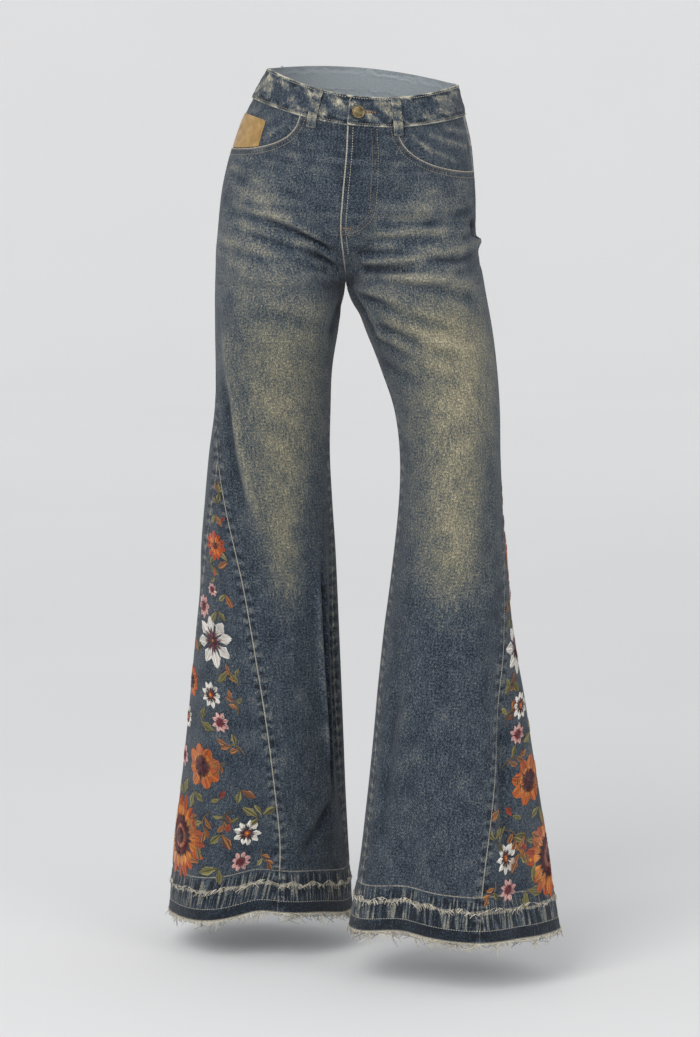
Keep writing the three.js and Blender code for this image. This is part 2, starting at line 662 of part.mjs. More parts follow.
const loopPlaces = [
  { name: "right_front_loop", side: "right", around: 0.21, lift: 0 },
  { name: "left_front_loop", side: "left", around: 0.3, lift: 0 },
  { name: "right_side_loop", side: "right", around: 2.3, lift: 0 },
  { name: "left_side_loop", side: "left", around: 2.3, lift: 0 },
  { name: "centre_back_loop", side: "right", around: 3, lift: 0 },
];
for (const place of loopPlaces) add(place.name, beltLoop(place), materials.denim);

const buttonShare = (button.past / hip.half(0)) * (2 / Math.PI);
const buttonOut = waistband.proud + waistband.thick + layerGap + seamGap;
const buttonMesh = add("waist_button", buttonSolid(), materials.brass);
buttonMesh.position.copy(moved("left", buttonShare, button.level, buttonOut));
buttonMesh.quaternion.setFromUnitVectors(
  new THREE.Vector3(0, 0, 1),
  clothNormal("left", buttonShare, button.level),
);

export default jeans;
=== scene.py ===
import math
import bpy
import numpy as np
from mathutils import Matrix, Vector


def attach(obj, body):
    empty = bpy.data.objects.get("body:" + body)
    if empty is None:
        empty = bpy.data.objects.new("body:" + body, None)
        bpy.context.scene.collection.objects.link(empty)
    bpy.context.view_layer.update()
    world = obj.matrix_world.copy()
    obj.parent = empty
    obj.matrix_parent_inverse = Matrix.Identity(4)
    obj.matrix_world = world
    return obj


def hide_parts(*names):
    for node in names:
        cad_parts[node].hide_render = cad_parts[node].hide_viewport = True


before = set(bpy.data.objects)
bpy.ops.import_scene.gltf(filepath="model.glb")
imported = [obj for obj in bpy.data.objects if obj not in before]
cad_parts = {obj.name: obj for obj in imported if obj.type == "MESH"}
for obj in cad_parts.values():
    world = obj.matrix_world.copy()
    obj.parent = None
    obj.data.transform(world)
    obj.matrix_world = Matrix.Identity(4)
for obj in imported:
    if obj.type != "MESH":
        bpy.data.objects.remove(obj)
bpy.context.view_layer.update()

# Flared jeans. The code's sizes are millimetres, and a mesh gets them in metres.
# Levels are measured down from the middle of the waistband. The front looks towards -Y, and left is +X.
mm = 0.001
rng = np.random.default_rng(71)

# Camera at the height of the waistband, looking slightly down, as in the photo
cameraView = dict(place=(-0.020, -4.5, 0.0), downDegrees=7.13, lens=118.35)


def makeCamera():
    data = bpy.data.cameras.new("camera")
    data.lens = cameraView["lens"]
    camera = bpy.data.objects.new("camera", data)
    camera.location = cameraView["place"]
    camera.rotation_euler = (math.radians(90 - cameraView["downDegrees"]), 0, 0)
    bpy.context.scene.collection.objects.link(camera)
    bpy.context.scene.camera = camera


makeCamera()
print("camera set")

# The form of the cloth, the same as the solids have
sides = ("right", "left")
outwards = {"right": -1.0, "left": 1.0}
otherSide = {"right": "left", "left": "right"}
hemLevel = {"right": 1097.0, "left": 1079.0}
form = dict(wall=1.3, seamGap=0.3, layerGap=0.6, crotchLevel=250.0, crotchRise=130.0, apexLevel=476.0, bandHalf=20.0)

hipRows = [  # level, middle, half, front, back, turn, slope, dip, rise
    (-20, -3.0, 124.0, 92, 93, 7.9, 0.086, 26, 12),
    (20, -8.5, 139.5, 98, 103, 6.2, 0.083, 24, 12),
    (60, -13.5, 153.0, 103, 115, 4.4, 0.075, 18, 9),
    (125, -20.5, 165.0, 106, 128, 3.4, 0.05, 9, 4),
    (180, -23.5, 169.5, 106, 131, 3.4, 0.03, 3, 1),
    (250, -20.5, 177.0, 102, 122, 1.7, 0, 0, 0),
]
legRows = {  # level, inner, outer, middle, reach, inseam, front, back
    "right": [
        (120, -25.9, -186.0, 10, 114, -90, 90, 90),
        (185, -25.9, -193.5, 9, 107, -90, 90, 90),
        (250, -25.9, -197.4, 6, 100, -90, 90, 90),
        (312, -35.9, -197.7, 3, 96, -88, 90, 90),
        (365, -43.7, -197.2, 1, 90, -86, 86, 86),
        (418, -45.7, -199.5, 0, 83, -83, 72, 72),
        (476, -46.6, -207.2, 1, 78, -79, 57, 57),
        (546, -43.1, -213.8, 4, 82, -76, 40, 62),
        (600, -39.5, -218.4, 7, 84, -74, 28, 67),
        (665, -36.5, -221.0, 10, 88, -74, 18, 75),
        (770, -32.2, -233.0, 16, 97, -74, 4, 85),
        (858, -28.8, -243.0, 20, 103, -75, -5, 94),
        (936, -25.9, -252.0, 24, 109, -76, -11, 102),
        (1000, -22.6, -259.8, 27, 112, -78, -14, 109),
        (1097, -16.6, -267.6, 30, 115, -82, -12, 127),
    ],
    "left": [
        (120, -25.5, 144.5, 10, 114, -90, 90, 90),
        (185, -25.5, 147.0, 9, 107, -90, 90, 90),
        (250, -25.5, 156.5, 6, 100, -90, 90, 90),
        (312, 1.1, 167.5, -2, 96, -86, 90, 90),
        (364, 21.3, 173.6, -12, 92, -80, 91, 91),
        (416, 38.5, 176.9, -24, 90, -77, 92, 92),
        (476, 45.6, 177.4, -40, 90, -76, 92, 92),
        (540, 43.6, 180.2, -57, 95, -76, 81, 102),
        (633, 33.1, 187.4, -80, 98, -76, 66, 114),
        (700, 24.0, 192.7, -95, 102, -76, 57, 121),
        (775, 16.0, 205.5, -108, 103, -76, 43, 125),
        (843, 9.8, 215.0, -118, 105, -75, 34, 128),
        (920, 1.7, 226.6, -130, 107, -75, 24, 132),
        (1000, -8.0, 238.0, -141, 107, -74, 16, 138),
        (1079, -21.8, 252.8, -150, 102, -74, 12, 146),
    ],
}
foldRows = {  # angle, drift, width, from, to, rise
    "right": [
        (52, -64, 13, 300, 690, 4),
        (-52, -6, 9, 560, 1010, 6),
        (-67, -2, 8, 570, 1000, -9),
        (6, -6, 14, 800, 1240, -17),
        (40, 0, 16, 760, 1240, 5),
        (95, 6, 15, 700, 1240, -7),
        (150, 6, 17, 640, 1240, 9),
        (188, 8, 15, 620, 1240, -12),
        (228, 6, 16, 660, 1240, 8),
        (178, 10, 22, 250, 520, -4),
    ],
    "left": [
        (-36, 0, 18, 820, 1230, -14),
        (16, -4, 12, 780, 1230, 6),
        (44, -6, 9, 640, 1150, -8),
        (72, 4, 12, 640, 1230, 5),
        (112, 6, 14, 700, 1230, -8),
        (152, 6, 16, 640, 1230, 9),
        (190, 6, 15, 620, 1230, -12),
        (232, 4, 16, 660, 1230, 8),
        (182, -8, 22, 250, 520, -4),
    ],
}
dragRows = {  # around, level, length, slope, height, rise
    "right": [
        (0.36, 218, 0.26, -120, 9, -4.5),
        (0.62, 232, 0.3, -60, 16, 3),
        (0.1, 262, 0.2, -140, 14, -2.5),
        (2.6, 262, 0.4, 60, 14, -5),
        (2.5, 292, 0.35, 50, 16, 3),
    ],
    "left": [
        (0.98, 189, 0.16, 60, 8, 6),
        (0.95, 174, 0.14, 40, 7, -4),
        (0.85, 226, 0.3, -70, 10, -3.5),
        (0.34, 226, 0.3, -50, 11, -4),
        (0.4, 250, 0.3, -60, 13, 3.5),
        (0.2, 275, 0.25, -90, 13, -3),
        (2.6, 262, 0.4, 60, 14, -5),
        (2.5, 292, 0.35, 50, 16, 3),
    ],
}
hemLiftRows = {  # angle, width, lift
    "right": [(-4, 26, 16), (-40, 22, 9)],
    "left": [(-34, 26, 9)],
}


def clamp(x, low=0.0, high=1.0):
    return np.minimum(high, np.maximum(low, x))


def smooth(x):
    return clamp(x) ** 2 * (3 - 2 * clamp(x))


def mix(a, b, t):
    return a + (b - a) * t


def bell(x):
    return np.exp(-np.square(x))


def curveOf(rows, column):  # a smooth curve through one column of a table, as a function of its first column
    places = np.array([row[0] for row in rows], float)
    values = np.array([row[column] for row in rows], float)
    order = np.arange(len(rows))
    before, after = np.maximum(order - 1, 0), np.minimum(order + 1, len(rows) - 1)
    slopes = (values[after] - values[before]) / (places[after] - places[before])

    def at(place):
        x = clamp(np.asarray(place, float), places[0], places[-1])
        i = np.clip(np.searchsorted(places, x) - 1, 0, len(rows) - 2)
        span = places[i + 1] - places[i]
        t = (x - places[i]) / span
        kept = (1 + 2 * t) * (1 - t) ** 2 * values[i] + t * t * (3 - 2 * t) * values[i + 1]
        leant = t * (1 - t) ** 2 * slopes[i] - t * t * (1 - t) * slopes[i + 1]
        return kept + span * leant

    return at


hipNames = "middle half front back turn slope dip rise".split()
hip = {name: curveOf(hipRows, i + 1) for i, name in enumerate(hipNames)}
legNames = "inner outer middle reach inseam front back".split()
leg = {side: {name: curveOf(legRows[side], i + 1) for i, name in enumerate(legNames)} for side in sides}


def turnedAway(angle, middle):
    return (angle - middle + 540) % 360 - 180


def foldRise(side, angle, level):
    total = 0.0
    for middle, drift, width, top, bottom, rise in foldRows[side]:
        along = clamp((level - top) / (bottom - top))
        away = turnedAway(angle, middle + drift * along)
        total = total + rise * np.sin(np.pi * along) ** 1.2 * bell(away / width)
    return total


def dragRise(side, around, level):
    total = 0.0
    for middle, height, length, slope, width, rise in dragRows[side]:
        along = around - middle
        total = total + rise * bell(along / length) * bell((level - height - slope * along) / width)
    return total


def hemLift(side, angle, level):
    lift = sum(row[2] * bell(turnedAway(angle, row[0]) / row[1]) for row in hemLiftRows[side])
    return lift * smooth((level - hemLevel[side] + 220) / 220)


# around is 0 at the centre front or inseam, 1 and 2 at the godet's two seams, 3 at the centre back or inseam
def clothPoint(side, around, level):
    around, level = np.broadcast_arrays(np.asarray(around, float), np.asarray(level, float))
    sign, at = outwards[side], leg[side]
    legLevel = np.maximum(level, form["crotchLevel"] - form["crotchRise"])
    inseam, frontSeam = at["inseam"](legLevel), at["front"](legLevel)
    backSeam = np.maximum(frontSeam, at["back"](legLevel))
    part = np.clip(np.floor(around), 0, 2).astype(int)
    share = around - part
    angle = mix(
        np.choose(part, [inseam, frontSeam, backSeam]), np.choose(part, [frontSeam, backSeam, inseam + 360]), share
    )
    inner, outer = at["inner"](np.maximum(level, form["crotchLevel"])), at["outer"](legLevel)
    drag = dragRise(side, around, level)
    rise = foldRise(side, angle, legLevel) + drag
    turn = np.radians(angle)
    x = (inner + outer) / 2 + sign * (np.abs(outer - inner) / 2 + rise) * np.sin(turn)
    y = at["middle"](legLevel) - (at["reach"](legLevel) + rise) * np.cos(turn)
    z = -level + hemLift(side, angle, level)
    climb = clamp((form["crotchLevel"] - level) / form["crotchRise"])
    hold = (climb * (2 - climb)) ** mix(0.5, 2, smooth(np.minimum(around, 3 - around) / 0.35))
    hipAngle = np.radians(np.choose(part, [0, 90, 90]) + np.choose(part, [90, 0, 90]) * share)
    turned = -np.radians(hip["turn"](level)) + sign * hipAngle
    forward = np.cos(turned)
    reach = np.where(forward > 0, hip["front"](level), hip["back"](level))
    hipX = mix(x, hip["middle"](level) + (hip["half"](level) + drag) * np.sin(turned), hold)
    hipY = mix(y, -(reach + drag) * forward, hold)
    tip = np.where(forward > 0, -hip["dip"](level), hip["rise"](level))
    hipZ = -level - hip["slope"](level) * hipX + tip * forward**2
    below = level >= form["crotchLevel"]
    return np.stack([np.where(below, x, hipX), np.where(below, y, hipY), np.where(below, z, hipZ)], -1)


def neighbour(side, around, step, level):  # the point a little way along the ring, across a seam where one is met
    onward = around + step
    aboveApex, aboveCrotch = level < form["apexLevel"], level < form["crotchLevel"]
    pastSide = aboveApex & (around <= 1) & (onward > 1)
    backSide = aboveApex & (around >= 2) & (onward < 2)
    onward = onward + pastSide - backSide
    crossed = aboveCrotch & ((onward < 0) | (onward > 3))
    own = clothPoint(side, (onward + 3) % 3, level)
    other = clothPoint(otherSide[side], np.where(onward < 0, -onward, 6 - onward) % 3.0001, level)
    return np.where(crossed[..., None], other, own)


def clothNormal(side, around, level, nearby=0.012):
    around, level = np.broadcast_arrays(np.asarray(around, float), np.asarray(level, float))
    along = neighbour(side, around, nearby, level) - neighbour(side, around, -nearby, level)
    below = level >= form["crotchLevel"]
    low = np.where(below, form["crotchLevel"], -100)
    high = np.where(below, 2000, form["crotchLevel"] - 0.01)
    lower, upper = np.minimum(high, level + 2), np.maximum(low, level - 2)
    down = clothPoint(side, around, lower) - clothPoint(side, around, upper)
    normal = -outwards[side] * np.cross(along, down)
    return normal / np.linalg.norm(normal, axis=-1, keepdims=True)


def moved(side, around, level, out):
    return clothPoint(side, around, level) + clothNormal(side, around, level) * np.asarray(out)[..., None]


# Creases that the pose pulls into the cloth: from around and level, to around and level, bow, half width, rise.
# A trough has a negative rise. Those of the back, from around 2 on, are like the ones that show in front.
creaseRows = {
    "right": [
        (0.5, 161, 0.02, 211, 3, 5, -4.6),
        (0.5, 152, 0.06, 198, 4, 7, 3.4),
        (0.82, 158, 0.3, 176, 4, 7, -2.4),
        (0.84, 149, 0.34, 166, 4, 6, 2.0),
        (0.66, 186, 0.12, 222, 4, 6, -2.6),
        (0.64, 179, 0.14, 212, 4, 6, 2.2),
        (0.9, 208, 0.4, 226, 5, 7, -2.2),
        (0.88, 200, 0.42, 216, 5, 7, 1.8),
        (0.4, 118, 0.06, 150, 3, 6, -1.6),
        (0.86, 116, 0.5, 122, 3, 7, -1.8),
        (0.84, 107, 0.5, 113, 3, 6, 1.5),
        (0.4, 234, 0.06, 250, 3, 6, 1.8),
        (0.62, 268, 0.14, 300, 5, 9, 1.6),
        (0.7, 280, 0.2, 316, 5, 8, -1.6),
        (0.32, 199, 0.02, 236, 3, 6, -3.6),
        (0.3, 190, 0.05, 224, 3, 7, 2.2),
        (0.9, 148, 0.5, 160, 4, 9, -1.8),
        (0.72, 132, 0.2, 141, -3, 10, 1.6),
        (0.6, 176, 0.3, 196, -4, 10, -1.5),
        (0.8, 300, 0.77, 400, 2, 9, 2.6),
        (0.78, 360, 0.7, 600, -4, 8, 4.2),
        (0.86, 340, 0.82, 560, 3, 12, -3.0),
        (0.05, 262, 0.14, 330, -4, 9, -2.8),
        (0.2, 560, 0.3, 700, 6, 14, 1.6),
        (0.2, 560, 0.28, 960, -4, 8, -6.6),
        (0.29, 600, 0.345, 935, -3, 6, 3.4),
        (0.24, 926, 0.84, 1030, -4, 13, -3.6),
        (0.3, 922, 0.84, 1006, -4, 8, 2.6),
        (2.98, 236, 2.6, 196, -4, 7, -4.0),
        (2.96, 258, 2.5, 226, -5, 9, -3.4),
        (2.94, 247, 2.5, 210, -5, 8, 2.4),
        (2.9, 320, 2.4, 350, 6, 12, -2.4),
        (2.7, 520, 2.2, 540, 8, 12, -2.6),
        (2.75, 548, 2.3, 572, 8, 12, -2.2),
        (2.2, 150, 2.5, 168, 3, 9, -1.8),
    ],
    "left": [
        (0.86, 160, 1.0, 187, 1, 5, -6.0),
        (0.72, 186, 0.98, 180, -4, 6, -3.8),
        (0.7, 176, 0.9, 170, 2, 6, 2.0),
        (0.05, 206, 0.5, 205, 2, 5, -4.2),
        (0.08, 215, 0.56, 212, 2, 5, 3.0),
        (0.1, 226, 0.58, 226, 2, 5, -4.2),
        (0.1, 235, 0.6, 236, 2, 5, 2.6),
        (0.5, 211, 0.94, 206, 5, 5, -3.8),
        (0.14, 192, 0.62, 182, -3, 6, -2.6),
        (0.18, 184, 0.66, 173, -3, 6, 2.4),
        (0.22, 172, 0.6, 162, -3, 6, -2.0),
        (0.16, 156, 0.5, 150, 2, 6, -1.6),
        (0.55, 150, 0.92, 143, 3, 7, -2.0),
        (0.55, 140, 0.9, 134, 3, 6, 1.8),
        (0.12, 122, 0.42, 116, 2, 7, -1.6),
        (0.12, 260, 0.4, 290, -5, 6, -2.6),
        (0.14, 252, 0.46, 280, -5, 6, 2.2),
        (0.34, 290, 0.66, 312, -4, 7, -2.2),
        (0.38, 282, 0.7, 302, -4, 6, 2.0),
        (0.1, 318, 0.34, 346, -3, 6, -2.2),
        (0.12, 310, 0.4, 340, -3, 6, 1.8),
        (0.46, 318, 0.74, 330, 4, 7, 1.8),
        (0.52, 200, 0.8, 200, 4, 7, 2.8),
        (0.3, 198, 0.7, 191, -2, 7, -2.4),
        (0.2, 240, 0.86, 276, -6, 8, -3.0),
        (0.3, 233, 0.9, 258, -5, 8, 2.6),
        (0.16, 300, 0.46, 333, -4, 6, -3.6),
        (0.42, 330, 0.66, 342, 3, 8, -2.6),
        (0.2, 292, 0.56, 322, -5, 8, 2.0),
        (0.05, 346, 0.38, 378, 3, 9, -2.6),
        (0.3, 356, 0.6, 372, 2, 8, -1.8),
        (0.12, 236, 0.15, 330, 2, 7, -2.6),
        (0.19, 250, 0.2, 330, 2, 7, 1.8),
        (0.15, 146, 0.62, 140, 3, 9, 1.6),
        (0.4, 164, 0.8, 156, 3, 9, -1.6),
        (1.05, 760, 1.18, 1000, 3, 11, -5.0),
        (0.7, 430, 0.78, 640, -4, 14, -2.0),
        (0.25, 700, 0.2, 1000, 6, 14, -3.0),
        (2.98, 232, 2.55, 200, -4, 7, -4.4),
        (2.95, 255, 2.45, 228, -5, 9, -3.6),
        (2.93, 243, 2.5, 213, -5, 8, 2.4),
        (2.88, 300, 2.4, 330, 6, 12, -2.6),
        (2.7, 500, 2.2, 522, 8, 12, -2.6),
        (2.78, 530, 2.3, 552, 8, 12, -2.2),
        (2.1, 180, 2.4, 190, 3, 7, -3.0),
    ],
}
girth = 220.0  # millimetres in one step of around, near enough for the creases
creaseDepth = 1.55


def creaseRise(side, around, level):
    total = np.zeros(np.broadcast(around, level).shape)
    for fromAround, fromLevel, toAround, toLevel, bow, width, rise in creaseRows[side]:
        run = np.array([(toAround - fromAround) * girth, toLevel - fromLevel])
        length = np.hypot(*run)
        run = run / length
        x, y = (around - fromAround) * girth, level - fromLevel
        along = (x * run[0] + y * run[1]) / length
        away = -x * run[1] + y * run[0] - bow * (1 - (2 * along - 1) ** 2)
        total += rise * smooth(np.minimum(along, 1 - along) / 0.3) * bell(away / width)
    return creaseDepth * total


# Sewn relief: a rolled edge at each seam, a felled ridge beside the godet, the fly and the hem's old folds
sewn = dict(roll=0.75, rollWidth=1.3, ridge=0.55, ridgeWidth=10.5)
flySize = dict(width=0.185, bottom=182.0, round=38.0, rise=1.5)
hemBand = dict(stitch=17.0, fold=41.0, seam=60.0, foldRise=1.1, seamDip=0.9, pucker=0.8)
pocketCut = dict(top=0.3, level={"right": 84.0, "left": 93.0}, squareness=2.5)
yokeCut = dict(side=58.0, centre=82.0)


def hemRelief(side, around, level):
    up = hemLevel[side] - level
    wave = np.sin(around * 141 + 1.3 * np.sin(around * 37)) + 0.5 * np.sin(around * 263 + 2)
    gathers = hemBand["pucker"] * wave * bell((up - hemBand["fold"]) / 13) * 0.6
    rim = 0.5 * np.sin(around * 97 + 2 * np.sin(around * 31)) * bell(up / 7)
    fold = hemBand["foldRise"] * bell((up - hemBand["fold"]) / 3.5)
    dip = hemBand["seamDip"] * (bell((up - hemBand["seam"]) / 2.5) + 0.8 * bell((up - hemBand["stitch"]) / 2))
    return fold - dip + gathers + rim


def pocketLevel(side, around):
    across = clamp((1 - around) / (1 - pocketCut["top"]))
    bend = pocketCut["squareness"]
    return mix(form["bandHalf"], pocketCut["level"][side], (1 - across**bend) ** (1 / bend))


def flyRise(side, around, level):
    down = clamp((level - flySize["bottom"] + flySize["round"]) / flySize["round"])
    edge = flySize["width"] * np.sqrt(1 - down**2)
    raised = flySize["rise"] * smooth((edge - around) / 0.02)
    return raised * (side == "left") * (level <= flySize["bottom"])


def yokeEdge(around):
    return mix(yokeCut["side"], yokeCut["centre"], around - 2)


# Columns stand close together along seams, at the fly and at the pocket's corner
seamShares = [0, 0.003, 0.007, 0.012, 0.018, 0.026, 0.034, 0.042, 0.049, 0.057, 0.068, 0.082]
cornerShares = [0.25, 0.258, 0.266, 0.274, 0.284, 0.294, 0.3, 0.3015, 0.304, 0.308, 0.314, 0.322, 0.332, 0.344]


def sharesOf(count, extra=()):
    inner = [x for x in np.linspace(0.094, 0.906, count) if all(abs(x - y) > 0.004 for y in extra)]
    return np.array(sorted([*seamShares, *(1 - x for x in seamShares), *inner, *extra]))


shares = {"front": sharesOf(56, cornerShares), "godet": sharesOf(66), "back": sharesOf(44)}
firstAround = {"front": 0, "godet": 1, "back": 2}


def levelsBelow(side, top):  # every row from a level down to the raw hem
    end = hemLevel[side]
    crotch, rise = form["crotchLevel"], form["crotchRise"]
    curved = crotch - rise * (1 - np.cos(np.linspace(1, 0, 38) * math.pi / 2))
    upper = crotch + np.cumsum(np.linspace(1.5, 5.2, 12))
    plain = np.linspace(upper[-1], end - 70, int((end - 70 - upper[-1]) / 5.2))[1:]
    band = end - np.linspace(67.5, 0, 27)
    every = np.concatenate([curved, upper, plain, band])
    return every[every >= top]


def rowsOf(side, around, topEdge, count):  # one level for each row and column
    start = form["crotchLevel"] - form["crotchRise"]
    down = np.linspace(0, 1, count, endpoint=False) ** 1.25
    upper = topEdge[None, :] + (start - topEdge[None, :]) * down[:, None]
    lower = levelsBelow(side, start)[:, None] + np.zeros_like(around)[None, :]
    return np.concatenate([upper, lower])


def lengthAlong(points):  # millimetres from the first column, along each row
    steps = np.linalg.norm(np.diff(points, axis=1), axis=2)
    return np.concatenate([np.zeros((len(points), 1)), np.cumsum(steps, axis=1)], axis=1)


# Tone of the worn cloth: level, where it is brightest, how wide that is, how bright
fadeRows = {
    "right": [
        (0, 0.5, 0.5, 0.1), (120, 0.5, 0.45, 0.15), (170, 0.55, 0.4, 0.19), (230, 0.6, 0.4, 0.2),
        (275, 0.5, 0.38, 0.22), (325, 0.45, 0.36, 0.28), (400, 0.46, 0.36, 0.32), (470, 0.48, 0.33, 0.32),
        (535, 0.54, 0.26, 0.31), (600, 0.58, 0.21, 0.3), (650, 0.61, 0.17, 0.2), (695, 0.63, 0.14, 0.02),
        (760, 0.6, 0.3, 0.0), (1100, 0.5, 0.4, 0.0),
    ],
    "left": [
        (0, 0.5, 0.6, 0.08), (120, 0.5, 0.5, 0.14), (175, 0.45, 0.45, 0.2), (230, 0.55, 0.42, 0.2),
        (275, 0.58, 0.4, 0.28), (325, 0.6, 0.37, 0.42), (400, 0.53, 0.4, 0.39), (470, 0.49, 0.37, 0.37),
        (560, 0.5, 0.34, 0.37), (615, 0.53, 0.3, 0.31), (660, 0.54, 0.23, 0.12), (710, 0.54, 0.2, 0.0),
        (760, 0.5, 0.3, 0.0), (1100, 0.5, 0.4, 0.0),
    ],
}
wornBack = [  # level, brightest around, width, how bright
    (0, 2.5, 0.6, 0.1), (100, 2.5, 0.5, 0.15), (190, 2.5, 0.36, 0.42), (260, 2.55, 0.3, 0.2),
    (330, 2.5, 0.3, 0.3), (480, 2.45, 0.22, 0.26), (560, 2.45, 0.2, 0.3), (650, 2.5, 0.2, 0.05),
    (1100, 2.5, 0.3, 0.0),
]
baseTone = [(0, 0.2), (90, 0.21), (200, 0.24), (300, 0.25), (480, 0.24), (650, 0.24), (760, 0.27), (1100, 0.26)]
whiskerRows = {  # level, around, half height, how bright
    "right": [
        (112, 0.6, 6, 0.08), (130, 0.5, 7, 0.1), (154, 0.45, 6, 0.12), (176, 0.6, 6, 0.07), (200, 0.66, 8, 0.1),
        (220, 0.7, 6, 0.07), (244, 0.3, 8, -0.08),
    ],
    "left": [
        (112, 0.55, 6, 0.07), (128, 0.45, 6, 0.1), (146, 0.4, 6, 0.12), (172, 0.35, 7, 0.12), (190, 0.66, 5, 0.08),
        (203, 0.62, 6, 0.13), (218, 0.3, 5, 0.1), (238, 0.45, 7, 0.06),
    ],
}
fadeCurves = {side: [curveOf(fadeRows[side], i) for i in (1, 2, 3)] for side in sides}
backCurves = [curveOf(wornBack, i) for i in (1, 2, 3)]
toneCurve = curveOf(baseTone, 1)


def clouds(x, y, size, seed):  # soft even variation from -1 to 1, size in the units of x and y
    total = 0.0
    for turn, phase, step in np.random.default_rng(seed).random((7, 3)):
        angle = 2 * math.pi * turn
        reach = 2 * math.pi / (size * (0.6 + step))
        total = total + np.sin((x * math.cos(angle) + y * math.sin(angle)) * reach + 2 * math.pi * phase)
    return clamp(total / 3.4, -1, 1)


def toneOf(side, around, level):
    centre, width, bright = (curve(level) for curve in fadeCurves[side])
    front = bright * bell((around - centre) / width) ** 1.2
    centre, width, bright = (curve(level) for curve in backCurves)
    back = bright * bell((around - centre) / width)
    # painted shade and highlight of the creases: the tone follows their relief, darker in the troughs as painted
    # shade, lighter on the ridges as real wear and painted highlight together
    relief = creaseRise(side, around, level) + 0.6 * dragRise(side, around, level)
    creaseShadingAndWear = 0.034 * clamp(relief, -5, 5) * mix(0.5, 1, smooth((640 - level) / 200))
    bars = 0.0  # pale bars across the lap, where sitting has worn the cloth
    for place, middle, tall, bright in whiskerRows[side]:
        fromBar = level - place - 9 * np.sin(around * 5)
        bars = bars + bright * bell(fromBar / tall) * bell((around - middle) / 0.3)
    uneven = 0.03 * clouds(around * girth, level, 46, 31) + 0.02 * clouds(around * girth, level, 15, 32)
    uneven = uneven + 0.07 * clouds(around * girth / 3.5, level, 21, 33) * smooth((300 - level) / 110)
    fly = -0.06 * (side == "left") * smooth((flySize["width"] - around) / 0.03) * smooth((190 - level) / 20)
    return clamp(toneCurve(level) + front + back + creaseShadingAndWear + bars + uneven + fly, 0.03, 0.95)


def washOf(side, around, level):  # how far a khaki wash has tinted the front of the thigh
    middle, width, bright = (curve(level) for curve in fadeCurves[side])
    return clamp(bright / 0.3) * bell((around - middle) / width) * smooth((level - 225) / 80)


# What the denim reads at each point of the cloth. Four are millimetres: seam from a seam, trim from a bare edge,
# trimAlong along that edge, and hem up from the raw hem. reverse is 1 on the wrong side.
clothValues = ("tone", "wash", "seam", "trim", "trimAlong", "hem", "reverse")
farOff = 99.0


def meshOf(name, points, faces, material, values=None, uv=None):  # points in millimetres
    mesh = bpy.data.meshes.new(name)
    mesh.from_pydata((np.asarray(points) * mm).tolist(), [], np.asarray(faces).tolist())
    for key, value in (values or {}).items():
        kind = "FLOAT_COLOR" if np.ndim(value) == 2 else "FLOAT"
        layer = mesh.attributes.new(key, kind, "POINT")
        layer.data.foreach_set("color" if np.ndim(value) == 2 else "value", np.ravel(value).astype(np.float32))
    if uv is not None:
        corners = np.empty(len(mesh.loops), np.int32)
        mesh.loops.foreach_get("vertex_index", corners)
        mesh.uv_layers.new(name="cloth").data.foreach_set("uv", np.ravel(uv[corners]).astype(np.float32))
    mesh.shade_smooth()
    mesh.set_sharp_from_angle(angle=math.radians(55))
    mesh.materials.append(material)
    piece = bpy.data.objects.new(name, mesh)
    bpy.context.scene.collection.objects.link(piece)
    return piece


def gridFaces(rows, columns, start, turned, closed=False):
    last = columns if closed else columns - 1
    r, c = np.meshgrid(np.arange(rows - 1), np.arange(last), indexing="ij")
    d = (c + 1) % columns
    a, b = start + r * columns + c, start + (r + 1) * columns + c
    e, f = start + (r + 1) * columns + d, start + r * columns + d
    order = [a, f, e, b] if turned else [a, b, e, f]
    return np.stack(order, -1).reshape(-1, 4)


def shellFaces(rows, columns):  # a closed shell of two equal grids, the outer one first
    size = rows * columns
    at = np.arange(size).reshape(rows, columns)
    rim = np.concatenate([at[:, 0], at[-1, 1:], at[-2::-1, -1], at[0, -2:0:-1]])
    onward = np.roll(rim, -1)
    side = np.stack([rim, rim + size, onward + size, onward], -1)
    return np.concatenate([gridFaces(rows, columns, 0, False), gridFaces(rows, columns, size, True), side])


def facingOut(points, faces):
    a, b, c = points[faces[:, 0]], points[faces[:, 1]], points[faces[:, 2]]
    d = points[faces[:, 3]]
    volume = np.einsum("ij,ij", a, np.cross(b, c)) + np.einsum("ij,ij", a, np.cross(c, d))
    return faces if volume > 0 else faces[:, ::-1]


def shellPiece(name, outer, inner, material, values, uv):
    rows, columns = outer.shape[:2]
    points = np.concatenate([outer.reshape(-1, 3), inner.reshape(-1, 3)])
    faces = facingOut(points, shellFaces(rows, columns))
    plain = {"tone": 0.4, "wash": 0.0}
    both = {}
    for key in clothValues:  # both sides of the cloth, and far from any seam or edge where none is given
        top = np.broadcast_to(values.get(key, plain.get(key, farOff)), (rows, columns))
        both[key] = np.concatenate([top.ravel(), top.ravel()])
    both["reverse"] = np.concatenate([np.zeros(rows * columns), np.ones(rows * columns)])
    uv = np.concatenate([uv.reshape(-1, 2)] * 2)
    return meshOf(name, points, faces, material, both, uv)


# Materials
def linear(code):  # an sRGB hex colour as the shader's linear values
    parts = [int(code[i : i + 2], 16) / 255 for i in (1, 3, 5)]
    return (*(c / 12.92 if c <= 0.04045 else ((c + 0.055) / 1.055) ** 2.4 for c in parts), 1.0)


def add(tree, kind, inputs, out=0, **settings):
    node = tree.nodes.new(kind)
    for name, value in settings.items():
        setattr(node, name, value)
    for key, value in inputs.items():
        if isinstance(value, bpy.types.NodeSocket):
            tree.links.new(value, node.inputs[key])
        else:
            node.inputs[key].default_value = value
    return node.outputs[out] if node.outputs else node


def startMaterial(name):
    material = bpy.data.materials.new(name)
    material.use_nodes = True
    material.node_tree.nodes.clear()
    return material, material.node_tree


